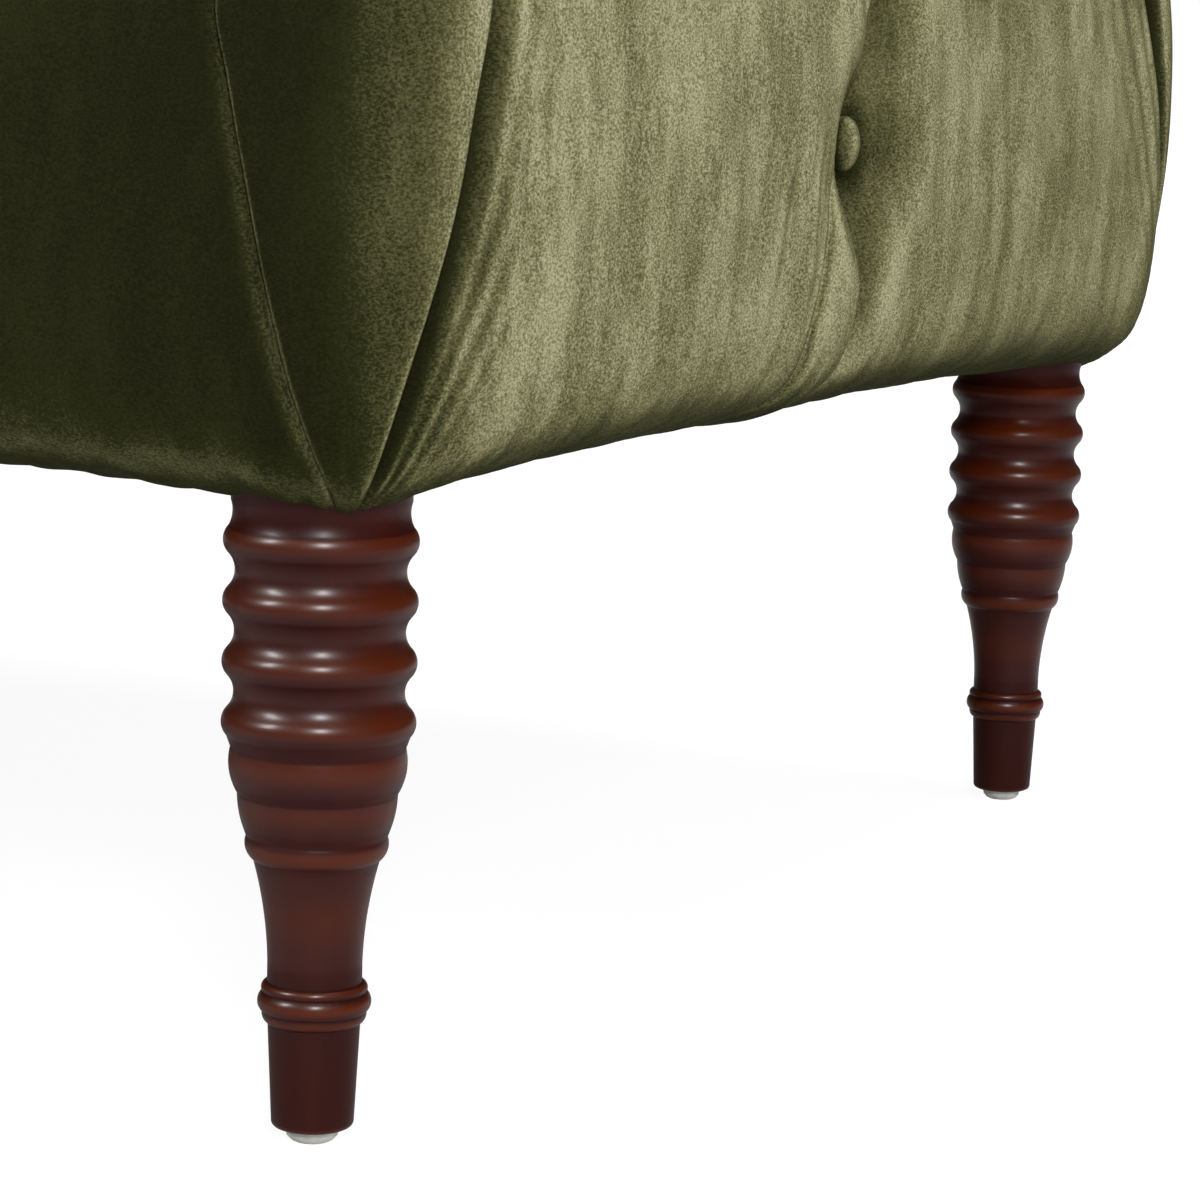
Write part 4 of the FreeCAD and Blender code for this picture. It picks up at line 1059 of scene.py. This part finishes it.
def outsideChart(u, z):
    crown = outer["crown"] * (1 - (u / outer["half"]) ** 2) * ramp(0.195, 0.30, z) * ramp(0.685, 0.58, z)
    return Vector((-u, outer["y"] + crown, z))


def outsideFolds(u, z):
    turned = max(lip((z - outer["foot"]) / 0.014), lip((outer["top"] - z) / 0.012))
    return outer["turnIn"] * turned + outer["ripple"] * noise.noise(outsideChart(u, z) * 10.0)


def outsideFree(at):
    return abs(at.x) < outer["freeHalf"] and outer["freeFoot"] < at.z < outer["freeTop"]


bm = bmesh.new()
rolled = edge(steady(outer["turnIn"]), steady(0.014), lip)
tall = outer["top"] - outer["foot"]
levels = [outer["foot"] + tall * (0.5 - 0.5 * math.cos(math.pi * i / 60)) for i in range(61)]
addStrip(bm, outsideChart, levels, steady(-outer["half"]), steady(outer["half"]), rolled, rolled, 60,
         outsideFolds)
outsidePanel = newObject("outsideBackPanel", bm, 75.0)
dress(outsidePanel, velvet, "velvet", "outside_back_panel")
settle(outsidePanel, rimOf(outsidePanel, outsideFree), 1.0, 0.0, outer["swell"])

dust = {
    "half": 0.313, "foot": -0.738, "rear": 0.643, "z": 0.1976, "sag": 0.003, "held": 0.013,
    "ripple": 0.0006, "legHole": 0.020, "drop": 0.0060,
}
bm = bmesh.new()
bmesh.ops.create_grid(bm, x_segments=64, y_segments=140, size=0.5)
for vert in bm.verts:
    x = vert.co.x * 2 * dust["half"]
    y = dust["foot"] + (vert.co.y + 0.5) * (dust["rear"] - dust["foot"])
    sag = dust["sag"] * (1 - (2 * vert.co.x) ** 2) * (1 - (2 * vert.co.y) ** 2)
    vert.co = Vector((x, y, dust["z"] - sag + dust["ripple"] * noise.noise(Vector((x, y, 0.0)) * 14.0)))


def overLeg(face):
    middle = face.calc_center_median().xy
    return any((middle - Vector(place)).length < dust["legHole"] for place in leg["places"].values())


def dustFree(at):
    clear = dust["held"]
    return abs(at.x) < dust["half"] - clear and dust["foot"] + clear < at.y < dust["rear"] - clear


bmesh.ops.delete(bm, geom=[face for face in bm.faces if overLeg(face)], context="FACES")
bmesh.ops.reverse_faces(bm, faces=bm.faces)
dustCover = newObject("dustCover", bm)
dress(dustCover, slotMaterials["dust_cloth"], "dust_cloth", "dust_cover")
settle(dustCover, rimOf(dustCover, dustFree), 0.0, 0.3, dust["drop"])
print("back and dust cover made")


# CAD pieces that stay
cadLooks = dict(slotMaterials, velvet=velvet, button_velvet=velvet, lacquered_wood=lacquer)
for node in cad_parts.values():
    if node.type != "MESH":
        continue
    for index, held in enumerate(node.data.materials):
        key = held.name.split(".")[0] if held else ""
        if key in cadLooks:
            node.data.materials[index] = cadLooks[key]
print("CAD pieces dressed")


# Floor, light and camera
studio = {
    "white": (1.0, 1.0, 1.0, 1.0), "floorHalf": 14.0, "floor": (0.72, 0.72, 0.72, 1.0), "floorRoughness": 0.9,
    "glow": 1.17, "near": 1.2, "far": 3.4, "nearShare": 0.80, "ambient": 0.08, "backdrop": 1.0,
}


def forCamera(share, plain, seen, output):  # the camera's own view of a surface
    mixed = newNode(share.id_data, "MixShader", {0: share, 1: plain.outputs[0], 2: seen.outputs[0]})
    setInputs(output, {"Surface": mixed.outputs[0]})


def cameraRay(tree):
    return newNode(tree, "LightPath", {}).outputs["Is Camera Ray"]


bm = bmesh.new()
bmesh.ops.create_grid(bm, x_segments=1, y_segments=1, size=studio["floorHalf"])
floor = newObject("floor", bm)
floorMaterial, tree, shader = newMaterial("paleFloor")
setInputs(shader, {"Base Color": studio["floor"], "Roughness": studio["floorRoughness"]})
glow = newNode(tree, "Emission", {"Color": studio["white"], "Strength": studio["glow"]})
away = newNode(tree, "VectorMath", {0: objectCoords(tree)})
away.operation = "LENGTH"
far = spread(away.outputs["Value"], studio["near"], studio["far"], studio["nearShare"], 1.0)
forCamera(addUp("MULTIPLY", cameraRay(tree), far), shader, glow, tree.nodes["Material Output"])
floor.data.materials.append(floorMaterial)

world = bpy.data.worlds.new("studio")
bpy.context.scene.world = world
world.use_nodes = True
tree = world.node_tree
ambient = tree.nodes["Background"]
setInputs(ambient, {"Color": studio["white"], "Strength": studio["ambient"]})
white = newNode(tree, "Background", {"Color": studio["white"], "Strength": studio["backdrop"]})
forCamera(cameraRay(tree), ambient, white, tree.nodes["World Output"])


def areaLight(name, at, aim, width, height, power, mirrored=True, lighting=True):
    data = bpy.data.lights.new(name, "AREA")
    data.shape = "RECTANGLE"
    data.size = width
    data.size_y = height
    data.energy = power
    lamp = bpy.data.objects.new(name, data)
    bpy.context.scene.collection.objects.link(lamp)
    lamp.visible_glossy = mirrored
    lamp.visible_diffuse = lighting
    lamp.location = at
    lamp.rotation_euler = (Vector(aim) - Vector(at)).to_track_quat("-Z", "Y").to_euler()


lamps = {  # place, aim, width, height, power, shows in gloss, lights dull surfaces
    "frontBox": ((-2.73, -2.30, 1.55), (-0.2, -0.7, 0.2), 0.42, 0.42, 50.0, False),
    "leftBox": ((-2.32, 1.10, 1.47), (-0.3, -0.7, 0.2), 0.40, 0.40, 22.0, False),
    "frontStrip": ((-2.73, -2.30, 2.35), (-0.2, -0.7, 0.2), 0.42, 1.1, 250.0, True, False),
    "leftStrip": ((-2.32, 1.10, 2.25), (-0.3, -0.7, 0.2), 0.34, 1.0, 170.0, True, False),
    "topBox": ((0.0, -0.4, 3.0), (0.0, -0.2, 0.0), 2.2, 2.8, 95.0),
    "footBox": ((-0.9, -4.2, 1.5), (0.0, -0.7, 0.3), 2.4, 2.2, 70.0, False),
}
for name, lamp in lamps.items():
    areaLight(name, *lamp)

view = {
    "sensor": 36.0, "lens": 112.155, "clip": 0.05, "place": (-1.22362, -1.25643, 0.32250),
    "right": (0.436095, -0.899499, 0.026896), "down": (-0.121845, -0.088633, -0.988584),
    "ahead": (0.891614, 0.427839, -0.148251),
}
cameraData = bpy.data.cameras.new("camera")
cameraData.sensor_width = view["sensor"]
cameraData.lens = view["lens"]
cameraData.clip_start = view["clip"]
camera = bpy.data.objects.new("camera", cameraData)
bpy.context.scene.collection.objects.link(camera)
turn = Matrix((view["right"], -Vector(view["down"]), -Vector(view["ahead"]))).transposed().to_4x4()
camera.matrix_world = Matrix.Translation(view["place"]) @ turn
bpy.context.scene.camera = camera
bpy.context.scene.view_settings.view_transform = "Standard"
